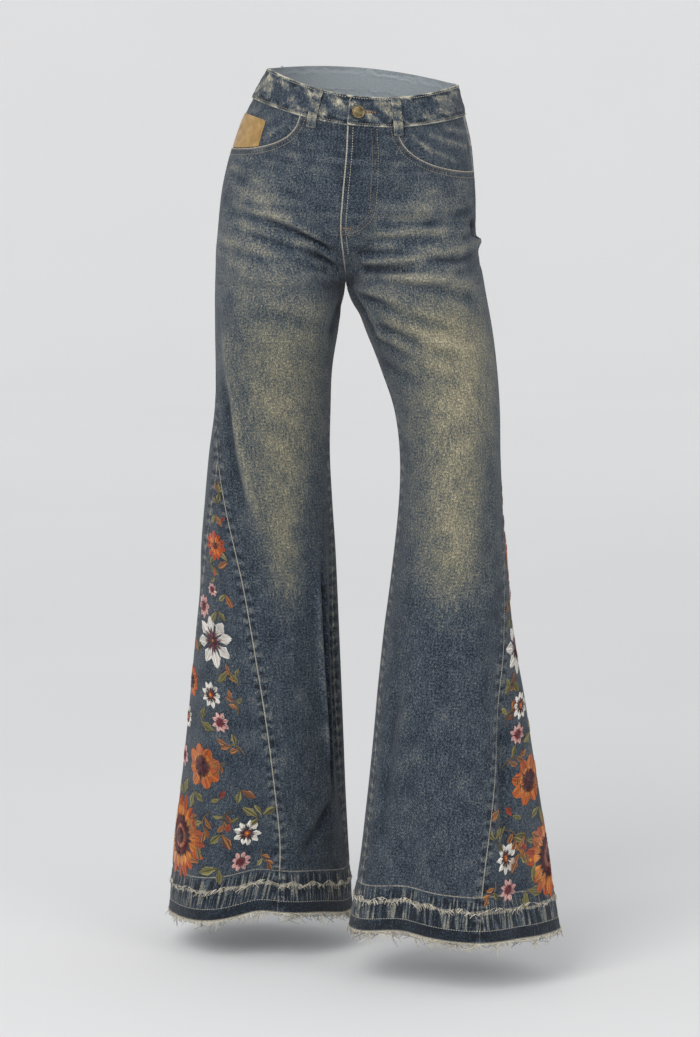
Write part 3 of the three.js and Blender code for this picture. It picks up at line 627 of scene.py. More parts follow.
def setRamp(socket, stops):
    ramp = socket.node.color_ramp
    while len(ramp.elements) < len(stops):
        ramp.elements.new(1.0)
    for element, (place, code) in zip(ramp.elements, stops):
        element.position = place
        element.color = linear(code)


# Cotton denim, ring spun, indigo warp over a white weft, stone washed and worn.
# The warp lies on top in a twill, so wear turns the blue to grey with a khaki tint.
# The real twill is 0.9 mm from rib to rib and its grain under 1 mm: both are drawn coarser, so that they show.
# Sizes are metres on the cloth, as its UV map is, and a share is how far each thing lightens the tone.
denimLook = dict(
    grain=0.0024, twill=0.0024, slub=(0.0021, 0.017), mottle=0.03, ladder=0.0155, ladderShare=0.17, seamShare=0.62,
    streak=(0.0033, 0.045), stripShare=-0.2, tick=0.0042, tickShare=0.55,
)
denimStops = [
    (0.0, "#11171e"), (0.16, "#212a35"), (0.32, "#394450"), (0.48, "#585d5f"),
    (0.64, "#78766b"), (0.8, "#969282"), (1.0, "#bab5a3"),
]
wornEdge, seamTick, khakiWash = "#bdb5a3", "#2b333d", "#fffaea"
reverseDark, reversePale = "#8d979e", "#b9bfc2"


def makeDenim(name, contrast, crackle):  # contrast of its weave, and how much its fine cracks show
    material, tree = startMaterial(name)
    look, soft = denimLook, dict(interpolation_type="SMOOTHSTEP")
    cloth = add(tree, "ShaderNodeUVMap", {}, uv_map="cloth")
    value = {key: add(tree, "ShaderNodeAttribute", {}, 2, attribute_name=key) for key in clothValues}
    noise = {"Vector": cloth, "Scale": 1 / look["grain"], "Detail": 2.0, "Roughness": 0.7}
    grain = add(tree, "ShaderNodeTexNoise", noise)
    wide, tall = look["slub"]
    stretched = add(tree, "ShaderNodeMapping", {"Vector": cloth, "Scale": (1 / wide, 1 / tall, 1.0)})
    slub = add(tree, "ShaderNodeTexNoise", {"Vector": stretched, "Scale": 1.0, "Detail": 2.0, "Roughness": 0.55})
    noise = {"Vector": cloth, "Scale": 1 / look["mottle"], "Detail": 3.0, "Roughness": 0.6}
    mottle = add(tree, "ShaderNodeTexNoise", noise)
    turned = add(tree, "ShaderNodeMapping", {"Vector": cloth, "Rotation": (0.0, 0.0, math.radians(27))})
    ribs = {"Vector": turned, "Scale": 0.314 / look["twill"], "Distortion": 1.5, "Detail": 1.0, "Detail Scale": 2.0}
    twill = add(tree, "ShaderNodeTexWave", ribs, 1)
    # squares of wear along the felled seams, and a light line on the seam itself
    apart = add(tree, "ShaderNodeSeparateXYZ", {0: cloth}, 1)
    broken = add(tree, "ShaderNodeTexNoise", {"Vector": cloth, "Scale": 70.0, "Detail": 2.0})
    jog = add(tree, "ShaderNodeMath", {0: broken, 1: 9.0}, operation="MULTIPLY")
    perRung = 2 * math.pi / look["ladder"]
    phase = add(tree, "ShaderNodeMath", {0: apart, 1: perRung, 2: jog}, operation="MULTIPLY_ADD")
    wave = add(tree, "ShaderNodeMath", {0: phase}, operation="SINE")
    nearSeam = {0: value["seam"], 1: 8.0, 2: 12.0, 3: look["ladderShare"], 4: 0.0}
    beside = add(tree, "ShaderNodeMapRange", nearSeam, **soft)
    ladder = add(tree, "ShaderNodeMath", {0: wave, 1: beside}, operation="MULTIPLY")
    overSeam = {0: value["seam"], 1: 0.5, 2: 2.6, 3: look["seamShare"], 4: 0.0}
    onSeam = add(tree, "ShaderNodeMapRange", overSeam, **soft)
    lined = add(tree, "ShaderNodeMath", {0: onSeam, 1: broken}, operation="MULTIPLY")
    # the hem band: streaks that run up from the stitches, and pale lines at the old folds
    wide, tall = look["streak"]
    streakPlace = add(tree, "ShaderNodeMapping", {"Vector": cloth, "Scale": (1 / wide, 1 / tall, 1.0)})
    streak = add(tree, "ShaderNodeTexNoise", {"Vector": streakPlace, "Scale": 1.0, "Detail": 1.5})
    inBand = add(tree, "ShaderNodeMapRange", {0: value["hem"], 1: 62.0, 2: 52.0, 3: 0.0, 4: 1.0}, **soft)
    aboveStrip = add(tree, "ShaderNodeMapRange", {0: value["hem"], 1: 15.5, 2: 18.5, 3: 0.0, 4: 1.0}, **soft)
    streaky = add(tree, "ShaderNodeMapRange", {0: streak, 1: 0.44, 2: 0.66, 3: -0.2, 4: 0.36})
    streaked = add(tree, "ShaderNodeMath", {0: streaky, 1: aboveStrip}, operation="MULTIPLY")
    banded = add(tree, "ShaderNodeMath", {0: streaked, 1: inBand}, operation="MULTIPLY")
    underStitches = {0: value["hem"], 1: 18.0, 2: 14.5, 3: 0.0, 4: look["stripShare"]}
    strip = add(tree, "ShaderNodeMapRange", underStitches, **soft)
    # fine pale cracks where stiff cloth has creased
    creased = add(tree, "ShaderNodeTexNoise", {"Vector": cloth, "Scale": 90.0, "Detail": 3.0, "Distortion": 0.6})
    fromCrack = add(tree, "ShaderNodeMath", {0: creased, 1: 0.5}, operation="SUBTRACT")
    fromCrack = add(tree, "ShaderNodeMath", {0: fromCrack}, operation="ABSOLUTE")
    cracks = add(tree, "ShaderNodeMapRange", {0: fromCrack, 1: 0.0, 2: 0.035, 3: 1.0, 4: 0.0})
    # tone
    toneParts = [
        (value["tone"], 1.0), (grain, 1.05 * contrast), (slub, 0.36 * contrast), (mottle, 0.3 * contrast),
        (twill, 0.07 * contrast), (ladder, 1.0), (lined, 1.0), (cracks, crackle), (banded, 1.0), (strip, 1.0),
    ]
    tone = -0.89 * contrast  # so that the weave's mean leaves the tone as it is
    for socket, weight in toneParts:
        tone = add(tree, "ShaderNodeMath", {0: socket, 1: weight, 2: tone}, operation="MULTIPLY_ADD")
    colour = add(tree, "ShaderNodeValToRGB", {0: tone})
    setRamp(colour, denimStops)
    washed = {0: value["wash"], 6: colour, 7: linear(khakiWash)}
    colour = add(tree, "ShaderNodeMix", washed, 2, data_type="RGBA", blend_type="MULTIPLY")
    # cream threads laid bare where the cloth is folded: pocket edges, fly, hem and old fold lines
    wander = add(tree, "ShaderNodeTexNoise", {"Vector": cloth, "Scale": 34.0, "Detail": 2.0})
    wandered = add(tree, "ShaderNodeMath", {0: wander, 1: 13.0, 2: value["hem"]}, operation="MULTIPLY_ADD")
    oldFold = add(tree, "ShaderNodeMath", {0: wandered, 1: hemBand["fold"] + 6.5, 2: 2.1}, operation="COMPARE")
    frayedFold = add(tree, "ShaderNodeMapRange", {0: streak, 1: 0.36, 2: 0.56, 3: 0.1, 4: 0.85})
    oldFold = add(tree, "ShaderNodeMath", {0: oldFold, 1: frayedFold}, operation="MULTIPLY")
    topFold = add(tree, "ShaderNodeMath", {0: value["hem"], 1: hemBand["seam"] + 0.5, 2: 0.8}, operation="COMPARE")
    topFaint = add(tree, "ShaderNodeMath", {0: topFold, 1: broken}, operation="MULTIPLY")
    raw = add(tree, "ShaderNodeMapRange", {0: value["hem"], 1: 0.6, 2: 3.2, 3: 0.95, 4: 0.0}, **soft)
    edge = add(tree, "ShaderNodeMapRange", {0: value["trim"], 1: 1.0, 2: 2.0, 3: 0.8, 4: 0.0}, **soft)
    bare = add(tree, "ShaderNodeMath", {0: oldFold, 1: 0.8, 2: topFaint}, operation="MULTIPLY_ADD")
    bare = add(tree, "ShaderNodeMath", {0: bare, 1: raw}, operation="MAXIMUM")
    bare = add(tree, "ShaderNodeMath", {0: bare, 1: edge}, operation="MAXIMUM")
    patchy = add(tree, "ShaderNodeMapRange", {0: grain, 1: 0.3, 2: 0.62, 3: 0.45, 4: 1.0})
    bare = add(tree, "ShaderNodeMath", {0: bare, 1: patchy}, operation="MULTIPLY", use_clamp=True)
    # short dark ticks between the two rows of stitches beside such an edge
    perTick = 2 * math.pi * mm / look["tick"]
    tickPhase = add(tree, "ShaderNodeMath", {0: value["trimAlong"], 1: perTick}, operation="MULTIPLY")
    tick = add(tree, "ShaderNodeMath", {0: tickPhase}, operation="SINE")
    ticks = add(tree, "ShaderNodeMapRange", {0: tick, 1: 0.1, 2: 0.7, 3: 0.0, 4: 1.0})
    nearEdge = add(tree, "ShaderNodeMath", {0: value["trim"], 1: 5.8, 2: 3.2}, operation="COMPARE")
    ticked = add(tree, "ShaderNodeMath", {0: ticks, 1: nearEdge}, operation="MULTIPLY")
    tickShare = add(tree, "ShaderNodeMath", {0: ticked, 1: look["tickShare"]}, operation="MULTIPLY")
    colour = add(tree, "ShaderNodeMix", {0: tickShare, 6: colour, 7: linear(seamTick)}, 2, data_type="RGBA")
    colour = add(tree, "ShaderNodeMix", {0: bare, 6: colour, 7: linear(wornEdge)}, 2, data_type="RGBA")
    # the wrong side is pale weft
    pale = {0: grain, 6: linear(reverseDark), 7: linear(reversePale)}
    inside = add(tree, "ShaderNodeMix", pale, 2, data_type="RGBA")
    colour = add(tree, "ShaderNodeMix", {0: value["reverse"], 6: colour, 7: inside}, 2, data_type="RGBA")
    rough = add(tree, "ShaderNodeMapRange", {0: grain, 3: 0.82, 4: 0.98})
    heights = add(tree, "ShaderNodeMath", {0: grain, 1: 0.8, 2: slub}, operation="MULTIPLY_ADD")
    heights = add(tree, "ShaderNodeMath", {0: twill, 1: 0.35, 2: heights}, operation="MULTIPLY_ADD")
    heights = add(tree, "ShaderNodeMath", {0: banded, 1: 1.6, 2: heights}, operation="MULTIPLY_ADD")
    heights = add(tree, "ShaderNodeMath", {0: ladder, 1: 4.0, 2: heights}, operation="MULTIPLY_ADD")
    bump = add(tree, "ShaderNodeBump", {"Height": heights, "Strength": 0.75, "Distance": 0.0009})
    shader = add(tree, "ShaderNodeBsdfPrincipled", {
        "Base Color": colour, "Roughness": rough, "Normal": bump, "Specular IOR Level": 0.18,
        "Sheen Weight": 0.12, "Sheen Roughness": 0.6,
    })
    add(tree, "ShaderNodeOutputMaterial", {0: shader})
    return material


denim = makeDenim("worn cotton denim", 1.25, 0.05)
godetDenim = makeDenim("slate denim of the godets", 1.05, 0.1)
bandDenim = makeDenim("creased denim of the waistband and loops", 1.05, 0.1)
print("denim made")


def finishPiece(piece, node):
    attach(piece, "root")
    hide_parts(node)


def reliefOf(side, panel, around, level, fromFirst, fromLast):
    out = creaseRise(side, around, level) + hemRelief(side, around, level)
    out = out - sewn["roll"] * (bell(fromFirst / sewn["rollWidth"]) + bell(fromLast / sewn["rollWidth"]))
    if panel == "front":
        felled = smooth(fromLast / 1.2) * smooth((sewn["ridgeWidth"] - fromLast) / 1.5) * (level > 60)
        out = out + sewn["ridge"] * felled + flyRise(side, around, level)
    return out


def panelGrids(side, panel, level):
    first = firstAround[panel]
    share = shares[panel][None, :] + np.zeros_like(level)
    if panel == "godet":
        gap = clamp(form["seamGap"] / (level - form["apexLevel"] + 0.1), 0, 0.04)
        around = first + mix(gap, 1 - gap, share)
    else:
        around = first + mix(0.0008, 0.9992, share)
    base = clothPoint(side, around, level)
    normal = clothNormal(side, around, level)
    across = lengthAlong(base)
    fromFirst, fromLast = across, across[:, -1:] - across
    out = reliefOf(side, panel, around, level, fromFirst, fromLast)
    outer = base + normal * out[..., None]
    inner = base + normal * (np.minimum(out, 0.6) - form["wall"])[..., None]
    uv = np.stack([(across - across[:, -1:] / 2) * mm, -level * mm], -1)
    return around, outer, inner, fromFirst, fromLast, uv


def nearestTo(points, path):  # distance to a path of points, and how far along it the nearest one is
    away, along = np.zeros((2, *points.shape[:2]))
    run = np.concatenate([[0], np.cumsum(np.linalg.norm(np.diff(path, axis=0), axis=1))])
    for row in range(len(points)):
        gaps = np.linalg.norm(points[row][:, None] - path[None], axis=2)
        best = gaps.argmin(axis=1)
        away[row] = gaps[np.arange(len(best)), best]
        along[row] = run[best]
    return away, along


def pocketRun(side, count=420):  # around and level along the pocket's opening
    turn = np.linspace(0, math.pi / 2, count)
    bend = 2 / pocketCut["squareness"]
    around = 1 - (1 - pocketCut["top"]) * np.cos(turn) ** bend
    return around, mix(form["bandHalf"], pocketCut["level"][side], np.sin(turn) ** bend)


pocketRows = 70  # the rows of a front leg that reach below its pocket


def makeFront(side):
    around = shares["front"]
    level = rowsOf(side, around, pocketLevel(side, around) + form["seamGap"], 34)
    around, outer, inner, fromFirst, fromLast, uv = panelGrids(side, "front", level)
    trim, trimAlong = np.full(level.shape, farOff), np.zeros(level.shape)
    pocketEdge = moved(side, *pocketRun(side), 0.0)
    trim[:pocketRows], trimAlong[:pocketRows] = nearestTo(outer[:pocketRows], pocketEdge)
    if side == "left":  # the fly's folded edge
        atFly = (fromFirst < trim) & (level < 236)
        trim = np.where(atFly, fromFirst, trim)
        trimAlong = np.where(atFly, level, trimAlong)
    inseam = np.where(level > form["crotchLevel"], fromFirst, farOff)
    values = dict(
        tone=toneOf(side, around, level), wash=washOf(side, around, level), seam=np.minimum(inseam, fromLast),
        trim=trim, trimAlong=trimAlong, hem=hemLevel[side] - level,
    )
    piece = shellPiece(f"{side}FrontLeg", outer, inner, denim, values, uv)
    finishPiece(piece, f"{side}_front")


def makeBack(side):
    around = 2 + shares["back"]
    level = rowsOf(side, around, yokeEdge(around) + form["seamGap"], 14)
    around, outer, inner, fromFirst, fromLast, uv = panelGrids(side, "back", level)
    topRow = np.linalg.norm(outer - outer[:1], axis=2)
    values = dict(
        tone=toneOf(side, around, level), seam=np.minimum(np.minimum(fromFirst, fromLast), topRow),
        hem=hemLevel[side] - level,
    )
    piece = shellPiece(f"{side}BackLeg", outer, inner, denim, values, uv)
    finishPiece(piece, f"{side}_back")


def makeYoke(side):
    around = 2 + shares["back"]
    top, bottom = form["bandHalf"] + form["seamGap"], yokeEdge(around)
    level = top + (bottom - top)[None, :] * np.linspace(0, 1, 18)[:, None]
    around, outer, inner, fromFirst, fromLast, uv = panelGrids(side, "back", level)
    seam = np.minimum(np.minimum(fromFirst, fromLast), bottom[None, :] - level)
    values = dict(tone=toneOf(side, around, level) - 0.03, seam=seam)
    piece = shellPiece(f"{side}Yoke", outer, inner, denim, values, uv)
    finishPiece(piece, f"{side}_yoke")


def makeGodet(side):
    levels = levelsBelow(side, form["apexLevel"] + 4)
    level = levels[:, None] + np.zeros_like(shares["godet"])[None, :]
    around, outer, inner, fromFirst, fromLast, uv = panelGrids(side, "godet", level)
    tone = 0.26 + 0.05 * clouds(around * girth, level, 60, 33)
    values = dict(tone=tone, seam=3 + np.minimum(fromFirst, fromLast), hem=hemLevel[side] - level)
    piece = shellPiece(f"{side}Godet", outer, inner, godetDenim, values, uv)
    finishPiece(piece, f"{side}_godet")


for side in sides:
    makeFront(side)
    makeBack(side)
    makeYoke(side)
    makeGodet(side)
print("legs, yokes and godets made")

# Waistband: one strip, its left end over its right one at the centre front, with the end's top corner rounded
bandLook = dict(thick=2.6, proud=1.2, under=0.16, rampFrom=0.27, rampTo=0.17, corner=9.0)
buttonEnd = 0.06  # the last stretch of the lap, from here to the centre front, has closer columns


def bandLift(around):
    ramp = smooth((bandLook["rampFrom"] - around) / (bandLook["rampFrom"] - bandLook["rampTo"]))
    return (bandLook["thick"] + form["layerGap"]) * ramp


def makeWaistband():
    runs = [
        ("left", np.linspace(bandLook["under"], 0, 14, endpoint=False), False),
        ("right", np.linspace(0, 1, 74, endpoint=False), False),
        ("right", np.linspace(2, 3, 70, endpoint=False), False),
        ("left", np.linspace(3, 2, 70, endpoint=False), False),
        ("left", np.linspace(1, buttonEnd, 70, endpoint=False), True),
        ("left", np.linspace(buttonEnd, 0, 18), True),
    ]
    half = form["bandHalf"]
    rows = np.array([
        0, 0.012, 0.03, 0.06, 0.1, 0.16, 0.23, 0.31, 0.4, 0.5, 0.6, 0.69, 0.77, 0.84, 0.9, 0.94, 0.97, 0.988, 1,
    ])
    spine = np.concatenate([moved(side, around, 0.0 * around, 0.0 * around) for side, around, _ in runs])
    along = np.concatenate([[0], np.cumsum(np.linalg.norm(np.diff(spine, axis=0), axis=1))])
    fromEnd = along[-1] - along
    corner = bandLook["corner"]
    dropped = corner - np.sqrt(np.maximum(0, corner**2 - np.maximum(0, corner - fromEnd) ** 2))
    outer, inner, start = [], [], 0
    for side, around, over in runs:
        part = slice(start, start + len(around))
        start += len(around)
        top = -half + dropped[part]
        level = top[None, :] + (half - top)[None, :] * rows[:, None]
        spot = around[None, :] + 0 * level
        x = along[part][None, :] + 0 * level
        fromEdge = np.minimum(level - top[None, :], half - level)
        lift = bandLift(spot) if over else 0 * level
        relief = 0.7 * clouds(x + 0.7 * level, level * 0.7, 24, 11)
        relief = relief + 0.5 * clouds(x * 1.6 + level, level * 0.6, 9, 12)
        relief = relief * smooth(fromEdge / 6) - 0.9 * bell(fromEdge / 0.9) - 0.35 * bell((fromEdge - 3.2) / 1.0)
        roll = smooth(np.minimum(fromEnd[part], 3)[None, :] / 3) - 1
        base, normal = clothPoint(side, spot, level), clothNormal(side, spot, level)
        outer.append(base + normal * (bandLook["proud"] + lift + relief + roll)[..., None])
        inner.append(base + normal * (bandLook["proud"] - bandLook["thick"] + lift)[..., None])
    outer, inner = np.concatenate(outer, 1), np.concatenate(inner, 1)
    x = along[None, :] + 0 * outer[..., 0]
    y = -half + 2 * half * rows[:, None] + 0 * x
    edge = np.minimum(y + half, half - y)
    worn = clouds(x + 0.7 * y, y * 0.7, 24, 11)
    veins = bell(clouds(x * 1.1 + 1.2 * y, y * 0.6, 21, 12) / 0.13)
    veins = veins + bell(clouds(x - 0.9 * y, y * 0.5, 30, 13) / 0.1)
    tone = 0.24 + 0.24 * smooth(worn * 1.5) + 0.3 * veins * smooth(worn + 0.7)
    tone = tone + 0.2 * smooth((5 - (y + half)) / 5) * smooth(worn + 0.6)
    values = dict(tone=tone, seam=np.minimum(edge, fromEnd[None, :] + 0 * edge))
    uv = np.stack([x * mm, -y * mm], -1)
    piece = shellPiece("waistbandStrip", outer, inner, bandDenim, values, uv)
    finishPiece(piece, "waistband")


makeWaistband()

# Belt loops: folded strips, sewn flat at both ends
loopLook = dict(width=12.0, thick=2.0, top=-19.0, bottom=33.0, stand=2.6, flat=0.16)
loopPlaces = [
    ("right_front_loop", "right", 0.21), ("left_front_loop", "left", 0.3), ("right_side_loop", "right", 2.3),
    ("left_side_loop", "left", 2.3), ("centre_back_loop", "right", 3.0),
]


def makeLoop(node, side, around):
    down = np.linspace(0, 1, 46)
    level = mix(loopLook["top"], loopLook["bottom"], down)
    rise = loopLook["stand"] * smooth(np.minimum(down, 1 - down) / loopLook["flat"] - 0.4)
    normal = clothNormal(side, around + 0 * level, level)
    lift = bandLook["proud"] + form["layerGap"] + rise
    spine = clothPoint(side, around + 0 * level, level) + normal * lift[:, None]
    spine = spine + normal * (0.25 * np.sin(down * 19 + around * 9))[:, None]
    sideways = np.cross(normal[20], spine[-1] - spine[0])
    sideways = sideways / np.linalg.norm(sideways)
    across = np.array([-1, -0.97, -0.88, -0.7, -0.35, 0, 0.35, 0.7, 0.88, 0.97, 1.0])
    fromEdge = (1 - np.abs(across)) * loopLook["width"] / 2
    place = spine[:, None] + sideways * (across * loopLook["width"] / 2)[None, :, None]
    rounded = loopLook["thick"] - 0.7 * bell(fromEdge / 0.7) - 0.3 * bell((fromEdge - 2.2) / 0.7)
    ends = 0.6 * bell(np.minimum(down, 1 - down) / 0.02)
    out = rounded[None, :] - ends[:, None]
    outer = place + normal[:, None] * out[..., None]
    length = loopLook["bottom"] - loopLook["top"]
    run = down[:, None] * length + 0 * out
    tone = 0.4 + 0.1 * np.sin(run / length * 9 + around * 5) + 0.2 * bell((fromEdge - 2.6) / 1.2)[None, :]
    values = dict(tone=tone, seam=fromEdge[None, :] + 1.2 + 0 * run)
    uv = np.stack([(across * loopLook["width"] / 2)[None, :] * mm + 0 * run, -run * mm], -1)
    name = node.split("_")[0] + node.split("_")[1].capitalize() + "BeltLoop"
    finishPiece(shellPiece(name, outer, place, bandDenim, values, uv), node)


for node, side, around in loopPlaces:
    makeLoop(node, side, around)

# Facings inside the front pockets, and the suede coin pocket that shows on the right one
facingLook = dict(depth=2.0, under=8.0, front=0.275, rear=0.965)
coinLook = dict(front=0.54, rear=0.965, top=39.0, thick=1.2, corner=5.0, ridge=8.0)
facingFolds = [  # pale worn folds: from around and level, to around and level, half width
    (0.52, 36, 0.86, 60, 4.5), (0.44, 46, 0.7, 78, 4.0), (0.66, 30, 0.98, 42, 4.0), (0.4, 34, 0.5, 62, 3.5),
]
insideDenim = makeDenim("raw denim of the facings", 1.0, 0.12)


def makeFacing(side):
    around = np.linspace(facingLook["front"], facingLook["rear"], 60)
    top = form["bandHalf"] + form["seamGap"]
    level = top + (pocketLevel(side, around) + facingLook["under"] - top)[None, :] * np.linspace(0, 1, 34)[:, None]
    spot = around[None, :] + 0 * level
    base, normal = clothPoint(side, spot, level), clothNormal(side, spot, level)
    fold = 0 * level
    for fromAround, fromLevel, toAround, toLevel, width in facingFolds:
        t = clamp((spot - fromAround) / (toAround - fromAround))
        off = np.hypot((spot - mix(fromAround, toAround, t)) * girth, level - mix(fromLevel, toLevel, t**0.8))
        fold = fold + bell(off / width)
    outer = base + normal * (0.45 * fold - facingLook["depth"])[..., None]
    inner = base - normal * (facingLook["depth"] + 1.3)
    across = lengthAlong(base)
    uv = np.stack([across * mm, -level * mm], -1)
    tone = 0.27 + (0.2 if side == "left" else 0.12) * fold + 0.06 * clouds(spot * girth, level, 22, 41)
    piece = shellPiece(f"{side}PocketFacing", outer, inner, insideDenim, dict(tone=tone), uv)
    finishPiece(piece, f"{side}_pocket_facing")


for side in sides:
    makeFacing(side)


# Suede, split cow leather with a brushed nap: dull, uneven tan with darker specks, drawn at 0.9 mm
def makeSuede():
    material, tree = startMaterial("brushed tan suede")
    place = add(tree, "ShaderNodeTexCoord", {}, 3)
    nap = add(tree, "ShaderNodeTexNoise", {"Vector": place, "Scale": 900.0, "Detail": 3.0, "Roughness": 0.7})
    patches = add(tree, "ShaderNodeTexNoise", {"Vector": place, "Scale": 90.0, "Detail": 2.0})
    tone = add(tree, "ShaderNodeMath", {0: nap, 1: 0.45, 2: patches}, operation="MULTIPLY_ADD")
    colour = add(tree, "ShaderNodeValToRGB", {0: tone})
    setRamp(colour, [(0.35, "#80673f"), (0.75, "#a18151"), (1.0, "#b39463")])
    bump = add(tree, "ShaderNodeBump", {"Height": nap, "Strength": 0.5, "Distance": 0.0004})
    shader = add(tree, "ShaderNodeBsdfPrincipled", {
        "Base Color": colour, "Roughness": 0.96, "Normal": bump, "Specular IOR Level": 0.15, "Sheen Weight": 0.25,
    })
    add(tree, "ShaderNodeOutputMaterial", {0: shader})
    return material


suede = makeSuede()


def makeCoinPocket():
    front = coinLook["front"]
    around = np.concatenate([np.linspace(front, front + 0.1, 26), np.linspace(front + 0.11, coinLook["rear"], 26)])
    base = clothPoint("right", around, 0 * around + 55)
    across = np.concatenate([[0], np.cumsum(np.linalg.norm(np.diff(base, axis=0), axis=1))])
    corner = coinLook["corner"]
    dropped = corner - np.sqrt(np.maximum(0, corner**2 - np.maximum(0, corner - across) ** 2))
    top = coinLook["top"] + dropped
    foot = pocketLevel("right", around) - 0.9
    level = top[None, :] + (foot - top)[None, :] * np.linspace(0, 1, 34)[:, None] ** 1.1
    spot = around[None, :] + 0 * level
    fromEdge = np.minimum(across[None, :], level - top[None, :])
    fromRidge = across[None, :] - coinLook["ridge"]
    relief = 0.7 * bell(fromRidge / 1.1) - 0.7 * bell(fromEdge / 0.7)
    relief = relief - 0.35 * bell((fromRidge + 2) / 0.8) + 0.15 * clouds(spot * girth, level, 16, 21)
    base, normal = clothPoint("right", spot, level), clothNormal("right", spot, level)
    rest = -facingLook["depth"] + form["layerGap"]
    outer = base + normal * (rest + coinLook["thick"] + relief)[..., None]
    inner = base + normal * rest
    uv = np.stack([across[None, :] * mm + 0 * level, -level * mm], -1)
    piece = shellPiece("coinPocket", outer, inner, suede, {}, uv)
    finishPiece(piece, "right_coin_pocket")


makeCoinPocket()

# Back patch pockets, plain, with a doubled top hem and a pointed foot
backPocketLook = dict(
    width=124.0, height=135.0, point=20.0, taper=8.0, tilt=3.0, x=72.0, level=166.0, thick=1.4, rest=0.3
)


def placeOf(side, x, z):  # the around and level of the back's point that is seen at x, z from behind
    around, level = np.full(x.shape, 2.5), -z.copy()
    for _ in range(12):
        here = clothPoint(side, around, level)
        perAround = (clothPoint(side, around + 0.004, level) - here) / 0.004
        perLevel = clothPoint(side, around, level + 1.0) - here
        missX, missZ = x - here[..., 0], z - here[..., 2]
        area = perAround[..., 0] * perLevel[..., 2] - perLevel[..., 0] * perAround[..., 2]
        around = clamp(around + (missX * perLevel[..., 2] - missZ * perLevel[..., 0]) / area, 2.02, 2.98)
        level = clamp(level + (perAround[..., 0] * missZ - perAround[..., 2] * missX) / area, 20, 320)
    return around, level


def backPocketPlace(side, across, down):  # across -1 to 1, down 0 to 1
    look, sign = backPocketLook, outwards[side]
    half, top = look["width"] / 2, look["height"] / 2
    foot = -top + look["point"] * np.abs(across)
    b = mix(top, foot, down)
    a = across * (half - look["taper"] * clamp((top - b) / (2 * top - look["point"])))
    tilt = math.radians(sign * look["tilt"])
    x = float(hip["middle"](look["level"])) + sign * look["x"] + a * math.cos(tilt) + b * math.sin(tilt)
    z = 60 - look["level"] - a * math.sin(tilt) + b * math.cos(tilt)
    return placeOf(side, x, z)


def makeBackPocket(side):
    look = backPocketLook
    nearEdge = np.array([0, 0.008, 0.02, 0.04, 0.07, 0.1])
    across = np.concatenate([-1 + nearEdge, np.linspace(-0.86, 0.86, 41), 1 - nearEdge[::-1]])
    atTop, atFoot = [0, 0.006, 0.015, 0.03, 0.05, 0.07, 0.085, 0.1], [0.94, 0.955, 0.97, 0.985, 1]
    down = np.concatenate([atTop, np.linspace(0.12, 0.92, 34), atFoot])
    u, v = np.meshgrid(across, down)
    around, level = backPocketPlace(side, u, v)
    base, normal = clothPoint(side, around, level), clothNormal(side, around, level)
    fromTop = v * look["height"]
    fromSide, fromFoot = (1 - np.abs(u)) * look["width"] / 2, (1 - v) * (look["height"] - look["point"] / 2)
    fromEdge = np.minimum(np.minimum(fromSide, fromFoot), fromTop)
    doubled = 0.6 * smooth((15 - fromTop) / 1.5)
    relief = creaseRise(side, around, level) * 0.7 + doubled
    relief = relief - 0.8 * bell(fromEdge / 0.9) - 0.3 * bell((fromEdge - 3) / 0.9)
    outer = base + normal * (look["rest"] + look["thick"] + relief)[..., None]
    inner = base + normal * (look["rest"] + np.minimum(0, relief))[..., None]
    tone = toneOf(side, around, level) + 0.08 * bell(fromEdge / 4)
    uv = np.stack([u * look["width"] / 2 * mm, -level * mm], -1)
    piece = shellPiece(f"{side}BackPocket", outer, inner, denim, dict(tone=tone, seam=fromEdge), uv)
    finishPiece(piece, f"{side}_back_pocket")


for side in sides:
    makeBackPocket(side)
print("waistband, loops and pockets made")

# Shank button, stamped brass with a dark, mottled antique finish
buttonLook = dict(radius=8.5, shank=3.5, stand=3.0, level=2.0, past=13.0, beads=24)


def makeAntiqueBrass():
    material, tree = startMaterial("stamped antique brass")
    place = add(tree, "ShaderNodeTexCoord", {}, 3)
    tarnish = add(tree, "ShaderNodeTexNoise", {"Vector": place, "Scale": 420.0, "Detail": 4.0, "Roughness": 0.65})
    colour = add(tree, "ShaderNodeValToRGB", {0: tarnish})
    setRamp(colour, [(0.3, "#39332a"), (0.52, "#6e6247"), (0.75, "#978a68")])
    rough = add(tree, "ShaderNodeMapRange", {0: tarnish, 3: 0.55, 4: 0.34})
    bump = add(tree, "ShaderNodeBump", {"Height": tarnish, "Strength": 0.25, "Distance": 0.0003})
    finish = {"Base Color": colour, "Metallic": 1.0, "Roughness": rough, "Normal": bump}
    shader = add(tree, "ShaderNodeBsdfPrincipled", finish)
    add(tree, "ShaderNodeOutputMaterial", {0: shader})
    return material


brass = makeAntiqueBrass()


